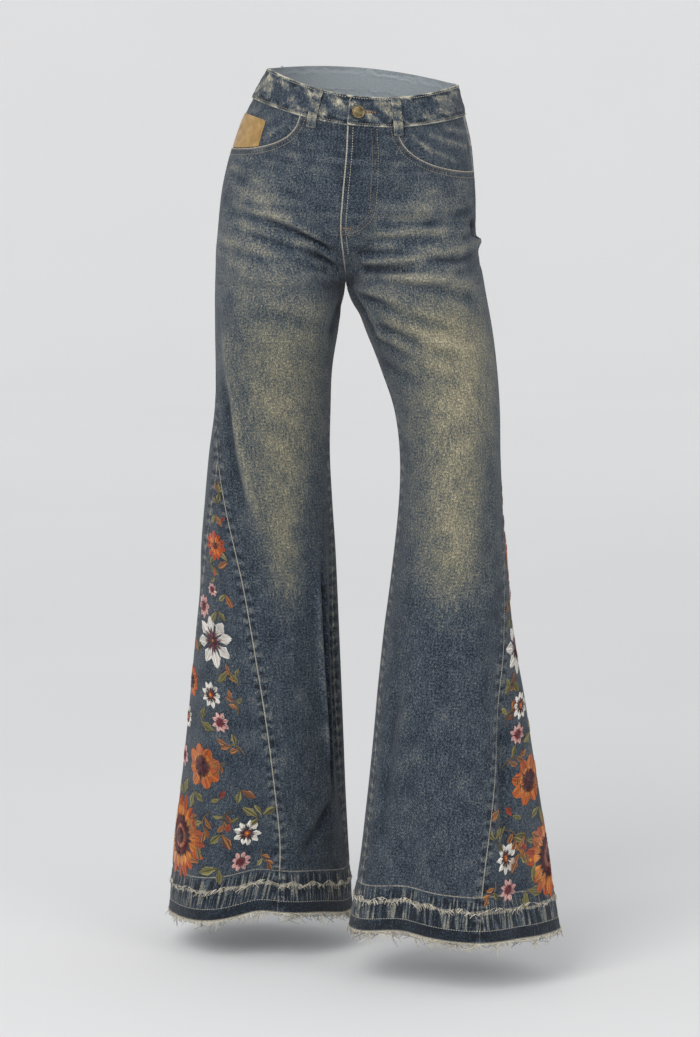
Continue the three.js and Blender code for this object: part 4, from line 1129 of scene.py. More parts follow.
def makeButton():
    look = buttonLook
    r, stand = look["radius"], look["stand"]
    profile = np.array([
        (0.0, 0.0), (look["shank"], 0), (look["shank"], stand), (r - 0.9, stand), (r - 0.3, stand + 0.1),
        (r, stand + 0.5), (r - 0.05, stand + 0.9), (r - 0.35, stand + 1.15), (r - 0.9, stand + 1.2),
        (r - 1.4, stand + 1.0), (r - 1.8, stand + 0.9), (r - 2.3, stand + 1.05), (r * 0.62, stand + 1.35),
        (r * 0.52, stand + 1.6), (r * 0.42, stand + 1.8), (r * 0.32, stand + 1.95), (r * 0.2, stand + 2.05),
        (r * 0.1, stand + 2.1), (0.0, stand + 2.12),
    ])
    turns = 64
    spin = np.linspace(0, 2 * math.pi, turns, endpoint=False)
    body = profile[1:-1]
    beads = 0.12 * np.sin(spin * look["beads"])[None, :] * bell((body[:, :1] - (r - 2.3)) / 0.7)
    height = body[:, 1:] + beads * (body[:, 1:] > stand)
    ring = np.stack([body[:, :1] * np.cos(spin), body[:, :1] * np.sin(spin), height], -1)
    points = np.concatenate([ring.reshape(-1, 3), [[0, 0, 0.0]], [[0, 0, profile[-1, 1]]]])
    faces = gridFaces(len(body), turns, 0, False, closed=True).tolist()
    onward = (np.arange(turns) + 1) % turns
    faces += [[len(points) - 2, int(i), int(j)] for i, j in zip(np.arange(turns), onward)]
    last = (len(body) - 1) * turns
    faces += [[len(points) - 1, last + int(j), last + int(i)] for i, j in zip(np.arange(turns), onward)]
    share = look["past"] / float(hip["half"](0)) * 2 / math.pi
    out = bandLook["proud"] + bandLook["thick"] + form["layerGap"] + 0.3
    spot = (np.array([share]), np.array([look["level"]]))
    centre = moved("left", *spot, out)[0]
    normal = Vector(clothNormal("left", *spot)[0])
    turn = np.array(Vector((0, 0, 1)).rotation_difference(normal).to_matrix())
    mesh = bpy.data.meshes.new("shankButton")
    mesh.from_pydata(((points @ turn.T + centre) * mm).tolist(), [], faces)
    mesh.shade_smooth()
    mesh.set_sharp_from_angle(angle=math.radians(50))
    mesh.materials.append(brass)
    piece = bpy.data.objects.new("shankButton", mesh)
    bpy.context.scene.collection.objects.link(piece)
    finishPiece(piece, "waist_button")


makeButton()
print("button made")


# Cotton and rayon thread: matt for sewing and fray, with a soft sheen for embroidery. The ply is 0.4 mm.
def makeThread(name, rough, sheen):
    material, tree = startMaterial(name)
    dyed = add(tree, "ShaderNodeAttribute", {}, 0, attribute_name="threadColour")
    place = add(tree, "ShaderNodeTexCoord", {}, 3)
    ply = add(tree, "ShaderNodeTexNoise", {"Vector": place, "Scale": 1400.0, "Detail": 1.0})
    shade = add(tree, "ShaderNodeMapRange", {0: ply, 3: 0.72, 4: 1.16})
    colour = add(tree, "ShaderNodeMix", {0: 1.0, 6: dyed, 7: shade}, 2, data_type="RGBA", blend_type="MULTIPLY")
    bump = add(tree, "ShaderNodeBump", {"Height": ply, "Strength": 0.4, "Distance": 0.0002})
    shader = add(tree, "ShaderNodeBsdfPrincipled", {
        "Base Color": colour, "Roughness": rough, "Normal": bump, "Specular IOR Level": 0.3, "Sheen Weight": sheen,
    })
    add(tree, "ShaderNodeOutputMaterial", {0: shader})
    return material


sewingThread = makeThread("cotton sewing thread", 0.85, 0.1)
embroideryThread = makeThread("rayon embroidery thread", 0.55, 0.2)


def startTree(name, sizes):
    tree = bpy.data.node_groups.new(name, "GeometryNodeTree")
    tree.interface.new_socket("Geometry", in_out="INPUT", socket_type="NodeSocketGeometry")
    for label, value in sizes.items():
        kind = "NodeSocketInt" if isinstance(value, int) else "NodeSocketFloat"
        tree.interface.new_socket(label, in_out="INPUT", socket_type=kind)
    tree.interface.new_socket("Geometry", in_out="OUTPUT", socket_type="NodeSocketGeometry")
    return tree, tree.nodes.new("NodeGroupInput")


def endTree(tree, geometry, material):
    real = add(tree, "GeometryNodeRealizeInstances", {0: geometry})
    coated = add(tree, "GeometryNodeSetMaterial", {0: real, 2: material})
    add(tree, "NodeGroupOutput", {0: coated})


def applyTree(name, tree, source, sizes):  # runs the tree on a mesh of edges and keeps the result as a plain mesh
    carrier = bpy.data.objects.new(name, source)
    bpy.context.scene.collection.objects.link(carrier)
    modifier = carrier.modifiers.new("made", "NODES")
    modifier.node_group = tree
    ids = {item.name: item.identifier for item in tree.interface.items_tree if item.in_out == "INPUT"}
    for label, value in sizes.items():
        modifier[ids[label]] = value
    evaluated = carrier.evaluated_get(bpy.context.evaluated_depsgraph_get())
    made = bpy.data.meshes.new_from_object(evaluated)
    carrier.modifiers.clear()
    carrier.data = made
    made.name = name
    return carrier


# Threads that lie along short paths: a round of few sides swept along each, as thick as its own attribute says
def makeThreadTree(name, sizes, material):
    tree, given = startTree(name, sizes)
    curve = add(tree, "GeometryNodeMeshToCurve", {0: given.outputs["Geometry"]})
    thick = add(tree, "GeometryNodeInputNamedAttribute", {0: "threadRadius"}, 0, data_type="FLOAT")
    scaled = add(tree, "ShaderNodeMath", {0: thick, 1: given.outputs["Thickness"]}, operation="MULTIPLY")
    ring = add(tree, "GeometryNodeCurvePrimitiveCircle", {0: given.outputs["Sides"], 4: 1.0}, mode="RADIUS")
    swept = add(tree, "GeometryNodeCurveToMesh", {
        "Curve": curve, "Profile Curve": ring, "Scale": scaled, "Fill Caps": True,
    })
    smoothed = add(tree, "GeometryNodeSetShadeSmooth", {0: swept})
    endTree(tree, smoothed, material)
    return tree


def edgesOf(name, threads):  # each thread is a path: its points, its colour and its radius, in millimetres
    mesh = bpy.data.meshes.new(name)
    counts = [len(points) for points, _, _ in threads]
    starts = np.concatenate([[0], np.cumsum(counts)])
    edges = [(int(s) + i, int(s) + i + 1) for s, count in zip(starts, counts) for i in range(count - 1)]
    mesh.from_pydata((np.concatenate([points for points, _, _ in threads]) * mm).tolist(), edges, [])
    colours = np.concatenate([np.tile(colour, (count, 1)) for (_, colour, _), count in zip(threads, counts)])
    radii = np.concatenate([np.broadcast_to(radius, count) for (_, _, radius), count in zip(threads, counts)])
    layer = mesh.attributes.new("threadColour", "FLOAT_COLOR", "POINT")
    layer.data.foreach_set("color", colours.ravel().astype(np.float32))
    layer = mesh.attributes.new("threadRadius", "FLOAT", "POINT")
    layer.data.foreach_set("value", (radii * mm).astype(np.float32))
    return mesh


def dyed(code, spread=0.2):  # a thread's colour, a little different each time
    return np.array(linear(code)) * np.array([*(1 + spread * rng.normal(size=1).repeat(3)), 1.0])


# Embroidery, satin stitch. A motif is drawn flat: x runs across the godet from its front seam, y down, z out.
# Threads are 0.4 mm in truth. They are laid 1 mm apart and as thick, so that they show and stay few.
threadPitch = 1.0


def turnedTo(points, place, turn):
    c, s = math.cos(turn), math.sin(turn)
    x, y = points[:, 0] * c - points[:, 1] * s, points[:, 0] * s + points[:, 1] * c
    return np.stack([x + place[0], y + place[1], points[:, 2]], 1)


def petalThreads(place, turn, start, end, width, colours, rise=0.9, fullness=0.55, pitch=threadPitch):
    threads = []
    half = width / 2
    for offset in np.arange(-half + pitch / 2, half, pitch):
        ratio = min(0.98, abs(offset) / half)
        reach = (1 - ratio ** (1 / fullness)) ** 0.5
        middle = mix(start, end, 0.56)
        low = middle - (middle - start) * reach * (1 - 0.15 * rng.random())
        high = middle + (end - middle) * reach + 0.5 * rng.normal()
        y = np.array([low, (low + high) / 2, high])
        x = offset * np.array([0.45, 1.0, 0.72])
        z = np.array([0.25, rise * (1 - 0.4 * ratio), 0.25])
        points = turnedTo(np.stack([x, y, z], 1), place, turn)
        threads.append((points, dyed(colours[rng.integers(len(colours))]), pitch * 0.56))
    return threads


def heartThreads(place, turn, start, end, spread, count, code, rise=1.25):
    threads = []
    for offset in np.linspace(-1, 1, count):
        reach = end - (end - start) * 0.35 * abs(offset) + 0.6 * rng.normal()
        x = offset * np.array([spread * 0.3, spread * 0.62, spread])
        y = np.array([start, (start + reach) / 2, reach])
        points = turnedTo(np.stack([x, y, [0.5, rise, 0.55]], 1), place, turn)
        threads.append((points, dyed(code), np.array([0.5, 0.5, 0.2])))
    return threads


def discThreads(place, radius, code, rise=1.3, hollow=0.0):
    threads = []
    for turn in np.arange(0, 2 * math.pi, max(0.09, 1.5 / radius)):
        y = np.array([hollow, (hollow + radius) / 2, radius + 0.4 * rng.normal()])
        points = turnedTo(np.stack([0 * y, y, [rise * 0.8, rise, 0.5]], 1), place, turn)
        threads.append((points, dyed(code), np.array([0.35, 0.55, 0.5])))
    return threads


def ringOfPetals(place, radius, start, count, width, colours, turn, rise=0.9, fullness=0.55):
    threads = []
    for i in range(count):
        angle = turn + 2 * math.pi * i / count + 0.05 * rng.normal()
        reach = radius * (1 + 0.05 * rng.normal())
        threads += petalThreads(place, angle, start, reach, width, colours, rise, fullness)
    return threads


def starFlower(place, radius, turn):  # eight pointed white petals with wine red hearts
    colours = ["#e6e2db", "#dcd7cf", "#cfc9c1"]
    threads = ringOfPetals(place, radius, radius * 0.2, 8, radius * 0.52, colours, turn, 0.9, 0.7)
    for i in range(8):
        angle = turn + i * math.pi / 4
        threads += heartThreads(place, angle, radius * 0.12, radius * 0.7, radius * 0.1, 5, "#5a1f28")
    threads += discThreads(place, radius * 0.17, "#3f1520")
    return threads + discThreads(place, radius * 0.08, "#a5662e", 1.9)


def daisy(place, radius, turn):
    threads = ringOfPetals(place, radius, radius * 0.25, 9, radius * 0.46, ["#e9e5dd", "#dbd6cd"], turn, 0.9, 0.6)
    for i in range(9):
        angle = turn + i * math.pi / 4.5
        threads += heartThreads(place, angle, radius * 0.24, radius * 0.76, radius * 0.1, 4, "#4e211d", 1.5)
    threads += discThreads(place, radius * 0.22, "#b9561f", 1.7)
    return threads + discThreads(place, radius * 0.1, "#d8a04a", 2.0)


def marigold(place, radius, turn):  # round orange petals about a dark plum heart
    colours = ["#c4652a", "#b35626", "#cc7b38", "#9b4820"]
    threads = ringOfPetals(place, radius, radius * 0.22, 8, radius * 0.68, colours, turn, 1.0, 0.42)
    inner = ["#cf9148", "#c07a38"]
    threads += ringOfPetals(place, radius * 0.7, radius * 0.3, 8, radius * 0.3, inner, turn, 1.5, 0.6)
    for i in range(8):
        angle = turn + i * math.pi / 4
        threads += heartThreads(place, angle, radius * 0.2, radius * 0.72, radius * 0.16, 6, "#4b1a22", 1.8)
    return threads + discThreads(place, radius * 0.36, "#43161f", 2.1)


def sunflower(place, radius, turn):
    outer = ["#ad4a26", "#bd5d2b", "#974122"]
    threads = ringOfPetals(place, radius, radius * 0.5, 18, radius * 0.3, outer, turn, 0.8, 0.75)
    inner = ["#cb7f37", "#bb6e2e", "#d89247"]
    threads += ringOfPetals(place, radius * 0.86, radius * 0.42, 18, radius * 0.27, inner, turn + 0.17, 1.1, 0.7)
    for i in range(36):
        angle = turn + i * math.pi / 18
        end = radius * (0.6 + 0.08 * (i % 2))
        threads += heartThreads(place, angle, radius * 0.36, end, radius * 0.03, 2, "#541b22", 1.6)
    threads += discThreads(place, radius * 0.42, "#5d1f27", 1.9, radius * 0.3)
    threads += discThreads(place, radius * 0.31, "#a9664f", 2.1, radius * 0.2)
    return threads + discThreads(place, radius * 0.2, "#4a1a20", 2.2)


def dahlia(place, radius, turn):
    threads = ringOfPetals(place, radius, radius * 0.4, 11, radius * 0.46, ["#b44a20", "#a33d1e"], turn, 0.8, 0.6)
    inner = ["#cf7630", "#c05a24"]
    threads += ringOfPetals(place, radius * 0.72, radius * 0.2, 9, radius * 0.38, inner, turn + 0.3, 1.3, 0.6)
    return threads + discThreads(place, radius * 0.25, "#6b2a1c", 1.9)


def pinkFlower(place, radius, turn):
    colours = ["#d3a39c", "#c18a88", "#dfb8ae"]
    threads = ringOfPetals(place, radius, radius * 0.2, 8, radius * 0.52, colours, turn, 0.9, 0.6)
    for i in range(8):
        angle = turn + i * math.pi / 4
        threads += heartThreads(place, angle, radius * 0.15, radius * 0.7, radius * 0.13, 4, "#6e2530", 1.5)
    return threads + discThreads(place, radius * 0.26, "#5f1f2a", 1.9)


def leafThreads(place, length, turn, colours):
    length = length * 1.6
    threads = petalThreads(place, turn, 0, length, length * 0.5, colours, 0.8, 0.72, 1.0)
    rib = turnedTo(np.array([[0, 0, 0.5], [0.4, length * 0.5, 1.25], [0, length * 0.95, 0.6]]), place, turn)
    return [*threads, (rib, dyed("#3d3524"), np.array([0.5, 0.45, 0.25]))]


oliveLeaf = ["#6f6b3e", "#857c4c", "#57532f", "#99905e"]
rustLeaf = ["#8a5630", "#a76a3c", "#6e4024", "#b57d48"]


def oliveLeaves(place, size, turn):
    threads = leafThreads(place, size, turn, oliveLeaf)
    return threads + leafThreads(place, size * 0.8, turn + 1.5, oliveLeaf)


def rustLeaves(place, size, turn):
    threads = leafThreads(place, size, turn, rustLeaf)
    return threads + leafThreads(place, size * 0.85, turn - 1.3, oliveLeaf)


def bud(place, size, turn):
    threads = petalThreads(place, turn, 0, size, size * 0.6, ["#a84a30", "#8e3a2c"], 1.2, 0.5)
    return threads + leafThreads(place, size * 0.7, turn + 2.4, oliveLeaf)


def stemThreads(place, length, turn, code, bow=0.25):
    t = np.linspace(0, 1, 8)
    x, y = bow * length * np.sin(math.pi * t), length * t
    points = turnedTo(np.stack([x, y, 0 * t + 0.55], 1), place, turn)
    side = turnedTo(np.stack([x + 0.9, y, 0 * t + 0.45], 1), place, turn)
    return [(points, dyed(code), 0.5), (side, dyed(code), 0.45)]


def sprig(place, size, turn):
    threads = stemThreads(place, size, turn, "#6a5536")
    for along, lean in ((0.35, 0.9), (0.6, -0.9), (0.8, 0.8), (1.0, 0.0)):
        spot = turnedTo(np.array([[0.25 * size * math.sin(math.pi * along), size * along, 0]]), place, turn)[0]
        colours = rustLeaf if lean >= 0 else oliveLeaf
        threads += leafThreads(spot, size * 0.42, turn + lean, colours)
    return threads


# Motifs down the godet: kind, millimetres below the apex, across from the front seam on the right and on the left
# leg, size and turn. A place past the godet's middle is on its hidden rear half.
motifs = [
    (oliveLeaves, 34, 6, 6, 8, 0.2), (rustLeaves, 46, 10, 9, 9, 3.4), (oliveLeaves, 62, 14, 12, 11, 2.6),
    (rustLeaves, 76, 22, 18, 11, 0.6), (bud, 84, 12, 12, 9, 2.2), (dahlia, 117, 32, 25, 19, 0.2),
    (rustLeaves, 136, 14, 12, 13, 5.2), (oliveLeaves, 142, 50, 44, 12, 0.8), (bud, 158, 42, 26, 11, 3.0),
    (pinkFlower, 176, 52, 38, 9, 0.5), (rustLeaves, 180, 28, 16, 12, 0.4), (pinkFlower, 200, 78, 66, 15, 0.1),
    (oliveLeaves, 203, 47, 26, 14, 5.6), (starFlower, 243, 60, 40, 33, 0.1), (oliveLeaves, 281, 40, 20, 15, 5.4),
    (rustLeaves, 262, 98, 84, 12, 3.9), (marigold, 303, 122, 112, 20, 0.4), (daisy, 315, 74, 42, 17, 0.2),
    (sprig, 338, 36, 18, 20, 3.4), (pinkFlower, 350, 62, 36, 13, 0.3), (oliveLeaves, 352, 98, 74, 16, 1.2),
    (daisy, 352, 138, 128, 14, 0.6), (sprig, 392, 34, 20, 24, 4.2), (sprig, 404, 60, 34, 18, 5.4),
    (marigold, 411, 98, 64, 30, 0.2), (oliveLeaves, 446, 118, 90, 16, 5.8), (pinkFlower, 404, 150, 122, 14, 0.2),
    (rustLeaves, 440, 46, 16, 14, 1.0), (bud, 452, 74, 40, 13, 2.6), (oliveLeaves, 455, 150, 132, 16, 2.6),
    (sprig, 472, 92, 54, 26, 5.9), (sunflower, 511, 158, 120, 53, 0.0), (rustLeaves, 500, 78, 56, 16, 0.4),
    (bud, 486, 66, 60, 13, 5.9), (sprig, 470, 60, 36, 22, 5.6), (sprig, 300, 30, 14, 18, 3.6),
    (daisy, 504, 44, 36, 19, 0.1), (oliveLeaves, 482, 26, 16, 16, 4.0),
    (oliveLeaves, 478, 20, 10, 14, 2.2), (sprig, 530, 24, 16, 20, 0.4), (pinkFlower, 544, 54, 40, 14, 0.4),
    (oliveLeaves, 548, 84, 70, 18, 4.9), (rustLeaves, 540, 112, 80, 18, 4.6), (starFlower, 446, 196, 178, 24, 0.3),
    (oliveLeaves, 540, 228, 206, 15, 1.4), (daisy, 500, 232, 204, 13, 0.3), (rustLeaves, 486, 134, 94, 13, 2.0),
]


def godetPlaces(side):  # turns millimetres across and the level into around
    pitch = 6.0
    levels = np.arange(form["apexLevel"] + pitch, hemLevel[side] + 1, pitch)
    around = np.linspace(1, 2, 101)
    points = clothPoint(side, around[None, :] + 0 * levels[:, None], levels[:, None] + 0 * around[None, :])
    across = lengthAlong(points)
    shareGrid = np.linspace(0, 1, 101)
    inverse = np.array([np.interp(shareGrid, row / row[-1], around) for row in across])

    def at(x, level):
        row = clamp((level - levels[0]) / pitch, 0, len(levels) - 1.001)
        low = row.astype(int)
        width = mix(across[low, -1], across[low + 1, -1], row - low)
        column = clamp(x / width, 0.004, 0.996) * 100
        left = np.minimum(column.astype(int), 99)
        near = mix(inverse[low, left], inverse[low, left + 1], column - left)
        far = mix(inverse[low + 1, left], inverse[low + 1, left + 1], column - left)
        return mix(near, far, row - low)

    return at


embroideryReach = {"right": 1.0, "left": 0.988}  # the left godet is that much shorter
threadSizes = {"Thickness": 1.0, "Sides": 3}
threadTree = makeThreadTree("threads along paths", threadSizes, embroideryThread)


def makeEmbroidery(side):
    threads = []
    for kind, below, acrossRight, acrossLeft, size, turn in motifs:
        place = (acrossRight if side == "right" else acrossLeft, form["apexLevel"] + below * embroideryReach[side])
        threads += kind(place, size, turn)
    flat = np.concatenate([points for points, _, _ in threads])
    level = clamp(flat[:, 1], form["apexLevel"] + 8, hemLevel[side] - 20)
    around = godetPlaces(side)(flat[:, 0], level)
    relief = creaseRise(side, around, level) + hemRelief(side, around, level)
    laid = moved(side, around, level, flat[:, 2] * 0.7 + relief)
    ends = np.cumsum([len(points) for points, _, _ in threads])[:-1]
    threads = [(points, colour, radius) for points, (_, colour, radius) in zip(np.split(laid, ends), threads)]
    piece = applyTree(f"{side}Embroidery", threadTree, edgesOf("embroideryPaths", threads), threadSizes)
    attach(piece, "root")
    print(side, "embroidery:", len(threads), "threads,", len(piece.data.polygons), "faces")


for side in sides:
    makeEmbroidery(side)
print("embroidery made")

# Stitches: short plump threads set at an even pitch along each sewn row, turned to the row and to the cloth
stitchLook = dict(pitch=3.3, length=2.5, width=0.75, height=0.5)


def makeStitchTree(name, sizes, material):
    tree, given = startTree(name, sizes)
    curve = add(tree, "GeometryNodeMeshToCurve", {0: given.outputs["Geometry"]})
    pitch = given.outputs["Pitch"]
    spaced = add(tree, "GeometryNodeResampleCurve", {"Curve": curve, "Length": pitch}, mode="LENGTH")
    tangent = add(tree, "GeometryNodeInputTangent", {})
    outward = add(tree, "GeometryNodeInputNamedAttribute", {0: "outward"}, 0, data_type="FLOAT_VECTOR")
    lengthwise = add(tree, "FunctionNodeAlignRotationToVector", {"Vector": tangent}, axis="X")
    facing = {"Rotation": lengthwise, "Vector": outward}
    laid = add(tree, "FunctionNodeAlignRotationToVector", facing, axis="Z", pivot_axis="X")
    plump = add(tree, "GeometryNodeMeshIcoSphere", {"Radius": 0.5, "Subdivisions": 1})
    size = add(tree, "ShaderNodeCombineXYZ", {
        0: given.outputs["Length"], 1: given.outputs["Width"], 2: given.outputs["Height"],
    })
    shaped = add(tree, "GeometryNodeTransform", {"Geometry": plump, "Scale": size})
    placed = add(tree, "GeometryNodeInstanceOnPoints", {"Points": spaced, "Instance": shaped, "Rotation": laid})
    endTree(tree, placed, material)
    return tree


stitchSizes = {key.capitalize(): value * mm for key, value in stitchLook.items()}
stitchTree = makeStitchTree("stitches along rows", stitchSizes, sewingThread)
stitchRows = []


def sew(side, around, level, out, code):  # a row of stitches on the cloth, from lists of around and level
    around, level = np.broadcast_arrays(np.asarray(around, float), np.asarray(level, float))
    relief = creaseRise(side, around, level) + hemRelief(side, around, level)
    normal = clothNormal(side, around, level)
    stitchRows.append((clothPoint(side, around, level) + normal * (relief + out)[:, None], normal, linear(code)))


def beside(points, normals, away):  # the path shifted sideways on the cloth
    run = np.gradient(points, axis=0)
    sideways = np.cross(normals, run)
    return points + sideways / np.linalg.norm(sideways, axis=1, keepdims=True) * away


def atDistance(side, seam, level, away):  # around at some millimetres from a seam
    step = 0.02 if away > 0 else -0.02
    here = clothPoint(side, seam + 0 * level, level)
    near = np.linalg.norm(clothPoint(side, seam + step, level) - here, axis=-1)
    return seam + abs(away) / near * step


threadDyes = dict(
    buff="#a3957c", cream="#c9c1b0", rust="#8a7461", slate="#5d666e", tack="#a9763f", pocket="#6b4e2a",
    hole="#b08a68", slit="#4a3322",
)


def sewPocket(side):  # two rows below the pocket's opening
    around, level = (line[4:-4:6] for line in pocketRun(side))
    path, normal = moved(side, around, level, 0.15), clothNormal(side, around, level)
    for away, dye in ((2.9, "rust"), (8.8, "buff")):
        points = beside(path, normal, -outwards[side] * away) + normal * 0.15
        stitchRows.append((points, normal, linear(threadDyes[dye])))


def sewWaistband(side):  # a row inside each edge
    for fromEdge, dye in ((3.2, "cream"), (36.8, "buff")):
        for low, high in ((0.03, 0.999), (2.001, 2.999)):
            ring = np.linspace(low, high, 120)
            level = fromEdge - form["bandHalf"] + 0 * ring
            lift = bandLift(ring) if side == "left" and low < 1 else 0 * ring
            normal = clothNormal(side, ring, level)
            points = clothPoint(side, ring, level) + normal * (bandLook["proud"] + lift + 0.1)[:, None]
            stitchRows.append((points, normal, linear(threadDyes[dye])))


def sewBackPocket(side):  # two rows inside its edge
    look = backPocketLook
    for inside in (3.0, 9.0):
        u, v = 1 - inside / (look["width"] / 2), 1 - inside / (look["height"] - look["point"] / 2)
        across = np.concatenate([np.full(30, -u), np.linspace(-u, u, 50), np.full(30, u)])
        down = np.concatenate([np.linspace(0.02, v, 30), np.full(50, v), np.linspace(v, 0.02, 30)])
        sew(side, *backPocketPlace(side, across, down), look["rest"] + look["thick"], threadDyes["buff"])


def sewLeg(side):
    end = hemLevel[side]
    # the hem's stitches, all round
    sew(side, np.linspace(0.003, 2.997, 260), end - hemBand["stitch"], 0.9, threadDyes["cream"])
    # felled rows on the front leg, down the outer seam and beside the godet
    down = np.linspace(pocketCut["level"][side] + 12, end - 62, 200)
    for away in (1.8, 8.6):
        sew(side, atDistance(side, 0.9999, down, -away), down, 0.55, threadDyes["slate"])
    # two rows close together in the ditch of the godet's front seam
    down = np.linspace(form["apexLevel"] + 14, end - 62, 150)
    for away, shift in ((0.5, 0.0), (1.1, 1.6)):
        sew(side, atDistance(side, 0.9999, down, -away), down + shift, 0.15, threadDyes["cream"])
    # inseam, on the front leg
    down = np.linspace(form["crotchLevel"] + 8, end - 62, 160)
    sew(side, atDistance(side, 0.0001, down, 2.2), down, 0.1, threadDyes["slate"])
    sewPocket(side)
    # yoke seam, two rows below it
    ring = np.linspace(2.01, 2.99, 90)
    for away in (2.0, 8.0):
        sew(side, ring, yokeEdge(ring) + away, 0.15, threadDyes["buff"])
    sewWaistband(side)
    sewBackPocket(side)


def sewFly():  # two rows down the J, two beside the edge and on down the centre seam, and bar tacks at the foot
    bottom, rounding, raised = flySize["bottom"], flySize["round"], flySize["rise"] + 0.1
    for inset, dye in ((0.012, "buff"), (0.044, "rust")):
        turn = np.linspace(0, math.pi / 2, 30)
        wide = flySize["width"] - inset
        around = np.concatenate([np.full(40, wide), wide * np.cos(turn)])
        curved = bottom - rounding + (rounding - inset * 160) * np.sin(turn)
        level = np.concatenate([np.linspace(24, bottom - rounding, 40), curved])
        sew("left", around, level, raised, threadDyes[dye])
    for away in (1.6, 7.8):
        down = np.linspace(24, 206, 70)
        out = np.where(down < bottom - 4, raised, 0.15)
        sew("left", atDistance("left", 0.0001, down, away), down, out, threadDyes["cream"])
    for level, out in ((170.0, 1.6), (178.0, 0.2)):
        for shift in (0.0, 0.8):
            sew("left", np.linspace(0.005, 0.055, 8), level + shift, out, threadDyes["tack"])


def sewCoinPocket():  # its front edge
    down = np.linspace(coinLook["top"] + 12, 76, 20)
    out = coinLook["thick"] - facingLook["depth"] + 0.6
    sew("right", coinLook["front"] + 0.012, down, out, threadDyes["pocket"])


def sewButtonhole():  # rows beside the slit, longest in the middle, on the waistband's lap
    for shift in (-1.8, -1.2, -0.6, 0.0, 0.6, 1.2, 1.8):
        along = np.linspace(0.052, 0.19 - 0.045 * abs(shift), 30)
        level = 1.0 + shift + 0 * along
        normal = clothNormal("left", along, level)
        out = bandLook["proud"] + bandLift(along) + 0.8
        points = clothPoint("left", along, level) + normal * out[:, None]
        stitchRows.append((points, normal, linear(threadDyes["hole" if shift else "slit"])))


for side in sides:
    sewLeg(side)
sewFly()
sewCoinPocket()
sewButtonhole()


def makeStitches():
    mesh = bpy.data.meshes.new("sewnRows")
    counts = [len(points) for points, _, _ in stitchRows]
    starts = np.concatenate([[0], np.cumsum(counts)])
    edges = [(int(s) + i, int(s) + i + 1) for s, count in zip(starts, counts) for i in range(count - 1)]
    mesh.from_pydata((np.concatenate([row[0] for row in stitchRows]) * mm).tolist(), edges, [])
    layer = mesh.attributes.new("outward", "FLOAT_VECTOR", "POINT")
    layer.data.foreach_set("vector", np.concatenate([row[1] for row in stitchRows]).ravel().astype(np.float32))
    layer = mesh.attributes.new("threadColour", "FLOAT_COLOR", "POINT")
    colours = np.concatenate([np.tile(row[2], (len(row[0]), 1)) for row in stitchRows])
    layer.data.foreach_set("color", colours.ravel().astype(np.float32))
    piece = applyTree("topstitching", stitchTree, mesh, stitchSizes)
    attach(piece, "root")
    print("stitches:", len(piece.data.polygons), "faces")


makeStitches()

# Frayed raw hem: cream weft and blue warp ends that curl out of the cut edge, rooted in it
frayLook = dict(strands=680, shortest=3.0, longest=17.0, radius=0.56, curl=5.0)
frayTree = makeThreadTree("frayed threads", threadSizes, sewingThread)
frayColours = ["#d3cab6", "#c9bfa9", "#ddd7c8", "#bab6aa", "#6f7c88", "#c2b69c"]


def makeFray(side):
    around = (np.arange(frayLook["strands"]) + rng.random(frayLook["strands"])) / frayLook["strands"] * 2.99
    end = hemLevel[side] - 0.8 + 0 * around
    root = moved(side, around, end, hemRelief(side, around, end) - 0.5)
    normal = clothNormal(side, around, end)
    along = clothPoint(side, around + 0.004, end) - clothPoint(side, around, end)
    along = along / np.linalg.norm(along, axis=1, keepdims=True)
    tufts = 0.75 + 0.45 * np.sin(around * 19) * np.sin(around * 47 + 1)
    length = mix(frayLook["shortest"], frayLook["longest"], rng.random(len(around)) ** 1.6) * tufts
    threads = []
    for i in range(len(around)):
        t = np.linspace(0, 1, 6)[:, None]
        lean, sweep, curl = rng.normal(size=3) * (0.5, 0.28, 1.0)
        wave = frayLook["curl"] * curl * np.sin(t * 4.2) * t
        hang = np.array([0, 0, -1.0]) + along[i] * lean + normal[i] * sweep
        path = root[i] + hang * t * length[i] + along[i] * wave + normal[i] * 0.6 * np.sin(t * 6 + curl)
        colour = dyed(frayColours[rng.integers(len(frayColours))])
        threads.append((path, colour, frayLook["radius"] * (1 - 0.45 * t[:, 0])))
    # threads that lie along the edge, half worked loose
    for start in np.linspace(0.02, 2.9, 74):
        reach = 0.04 + 0.06 * rng.random()
        spot = np.linspace(start, min(2.99, start + reach), 9)
        level = hemLevel[side] + 1.2 * np.sin(np.linspace(0, 5, 9) + start * 9) + 0.4
        out = 0.4 + 0.7 * np.sin(np.linspace(0, 3.1, 9))
        points = moved(side, spot, np.minimum(level, hemLevel[side]), out)
        points[:, 2] -= np.maximum(0, level - hemLevel[side])
        threads.append((points, dyed("#d2cbb9"), 0.5))
    # old fold lines of the hem, where short ends have worked out of the cloth
    for start in np.linspace(0.01, 2.98, 300):
        lean = (0.01 + 0.03 * rng.random()) * (1 if rng.random() < 0.6 else -1)
        spot = start + lean * np.array([0, 0.3, 0.65, 1])
        fall = (2 + 6 * rng.random()) * np.array([0, 0.15, 0.5, 1])
        level = hemLevel[side] - hemBand["fold"] - 3 * math.sin(start * 31) - 2 + fall
        spot = clamp(spot, 0.003, 2.997)
        points = moved(side, spot, level, hemRelief(side, spot, level) + 0.5 + 0.6 * np.sin(fall))
        threads.append((points, dyed(frayColours[rng.integers(4)]), 0.42))
    piece = applyTree(f"{side}HemFray", frayTree, edgesOf("frayPaths", threads), threadSizes)
    finishPiece(piece, f"{side}_hem_fray")
    print(side, "fray:", len(piece.data.polygons), "faces")


for side in sides:
    makeFray(side)
print("hems frayed")

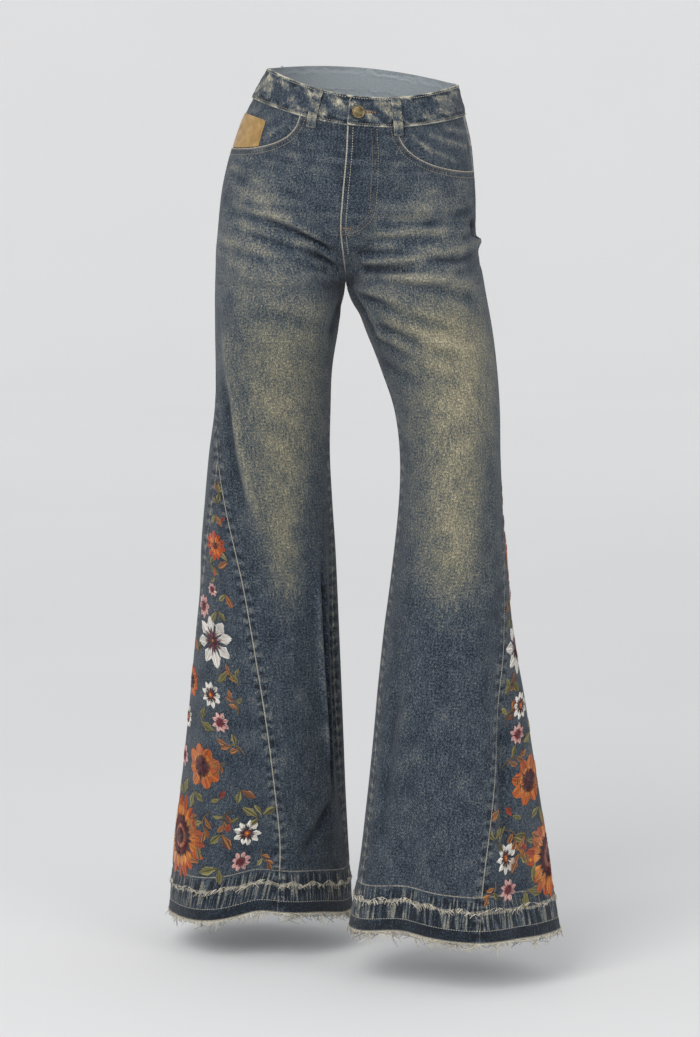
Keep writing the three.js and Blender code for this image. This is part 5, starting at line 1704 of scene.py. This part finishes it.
# Flat cuts: the embroidery is worked on the godets, and the frayed threads hang from the legs' hems
workedOn = {f"{side}Godet": [f"{side}Embroidery"] for side in sides}
workedOn.update({f"{side}FrontLeg": [f"{side}HemFray"] for side in sides})

# Pale studio: a floor that curves up behind, a wide soft light above on the left and a weaker one on the right
studio = dict(
    floor=-1.147, half=9.0, ahead=9.0, behind=9.0, bend=1.6, wall=6.0, glow=(0.05, 0.2), glowFrom=0.2, glowTo=6.0,
    key=145.0, fill=38.0, world=0.65,
)


def makeStage():
    material, tree = startMaterial("matt painted backdrop")
    place = add(tree, "ShaderNodeTexCoord", {}, 3)
    cloudy = add(tree, "ShaderNodeTexNoise", {"Vector": place, "Scale": 0.8})
    shades = {0: cloudy, 6: linear("#dedede"), 7: linear("#e6e6e6")}
    paint = add(tree, "ShaderNodeMix", shades, 2, data_type="RGBA")
    # the lamps don't reach the far wall, so its paint glows a little instead
    far = add(tree, "ShaderNodeSeparateXYZ", {0: place}, 1)
    low, high = studio["glow"]
    glow = add(tree, "ShaderNodeMapRange", {0: far, 1: studio["glowFrom"], 2: studio["glowTo"], 3: low, 4: high})
    shader = add(tree, "ShaderNodeBsdfPrincipled", {
        "Base Color": paint, "Roughness": 0.9, "Specular IOR Level": 0.1,
        "Emission Color": linear("#ffffff"), "Emission Strength": glow,
    })
    add(tree, "ShaderNodeOutputMaterial", {0: shader})
    turn = np.linspace(0, math.pi / 2, 24)
    back, bend = studio["behind"], studio["bend"]
    y = np.concatenate([[-studio["ahead"]], back + bend * np.sin(turn), [back + bend]])
    z = np.concatenate([[0], bend * (1 - np.cos(turn)), [studio["wall"]]]) + studio["floor"]
    x = np.array([studio["half"], -studio["half"]])
    points = np.stack(np.broadcast_arrays(x[None, :], y[:, None], z[:, None]), -1).reshape(-1, 3) / mm
    meshOf("studioFloor", points, gridFaces(len(y), 2, 0, False), material)


def addLight(name, place, target, size, power):
    data = bpy.data.lights.new(name, "AREA")
    data.shape = "RECTANGLE"
    data.size, data.size_y = size
    data.energy = power
    light = bpy.data.objects.new(name, data)
    light.location = place
    light.rotation_euler = (Vector(target) - Vector(place)).to_track_quat("-Z", "Y").to_euler()
    bpy.context.scene.collection.objects.link(light)


makeStage()
addLight("keyLight", (-2.0, -3.6, 2.6), (0, 0, -0.5), (3.2, 3.2), studio["key"])
addLight("fillLight", (3.0, -3.4, 1.0), (0, 0, -0.6), (2.4, 3.0), studio["fill"])
world = bpy.data.worlds.new("soft daylight")
world.use_nodes = True
world.node_tree.nodes["Background"].inputs[0].default_value = linear("#f4f5f7")
world.node_tree.nodes["Background"].inputs[1].default_value = studio["world"]
bpy.context.scene.world = world
bpy.context.scene.view_settings.view_transform = "Standard"
print("studio made")
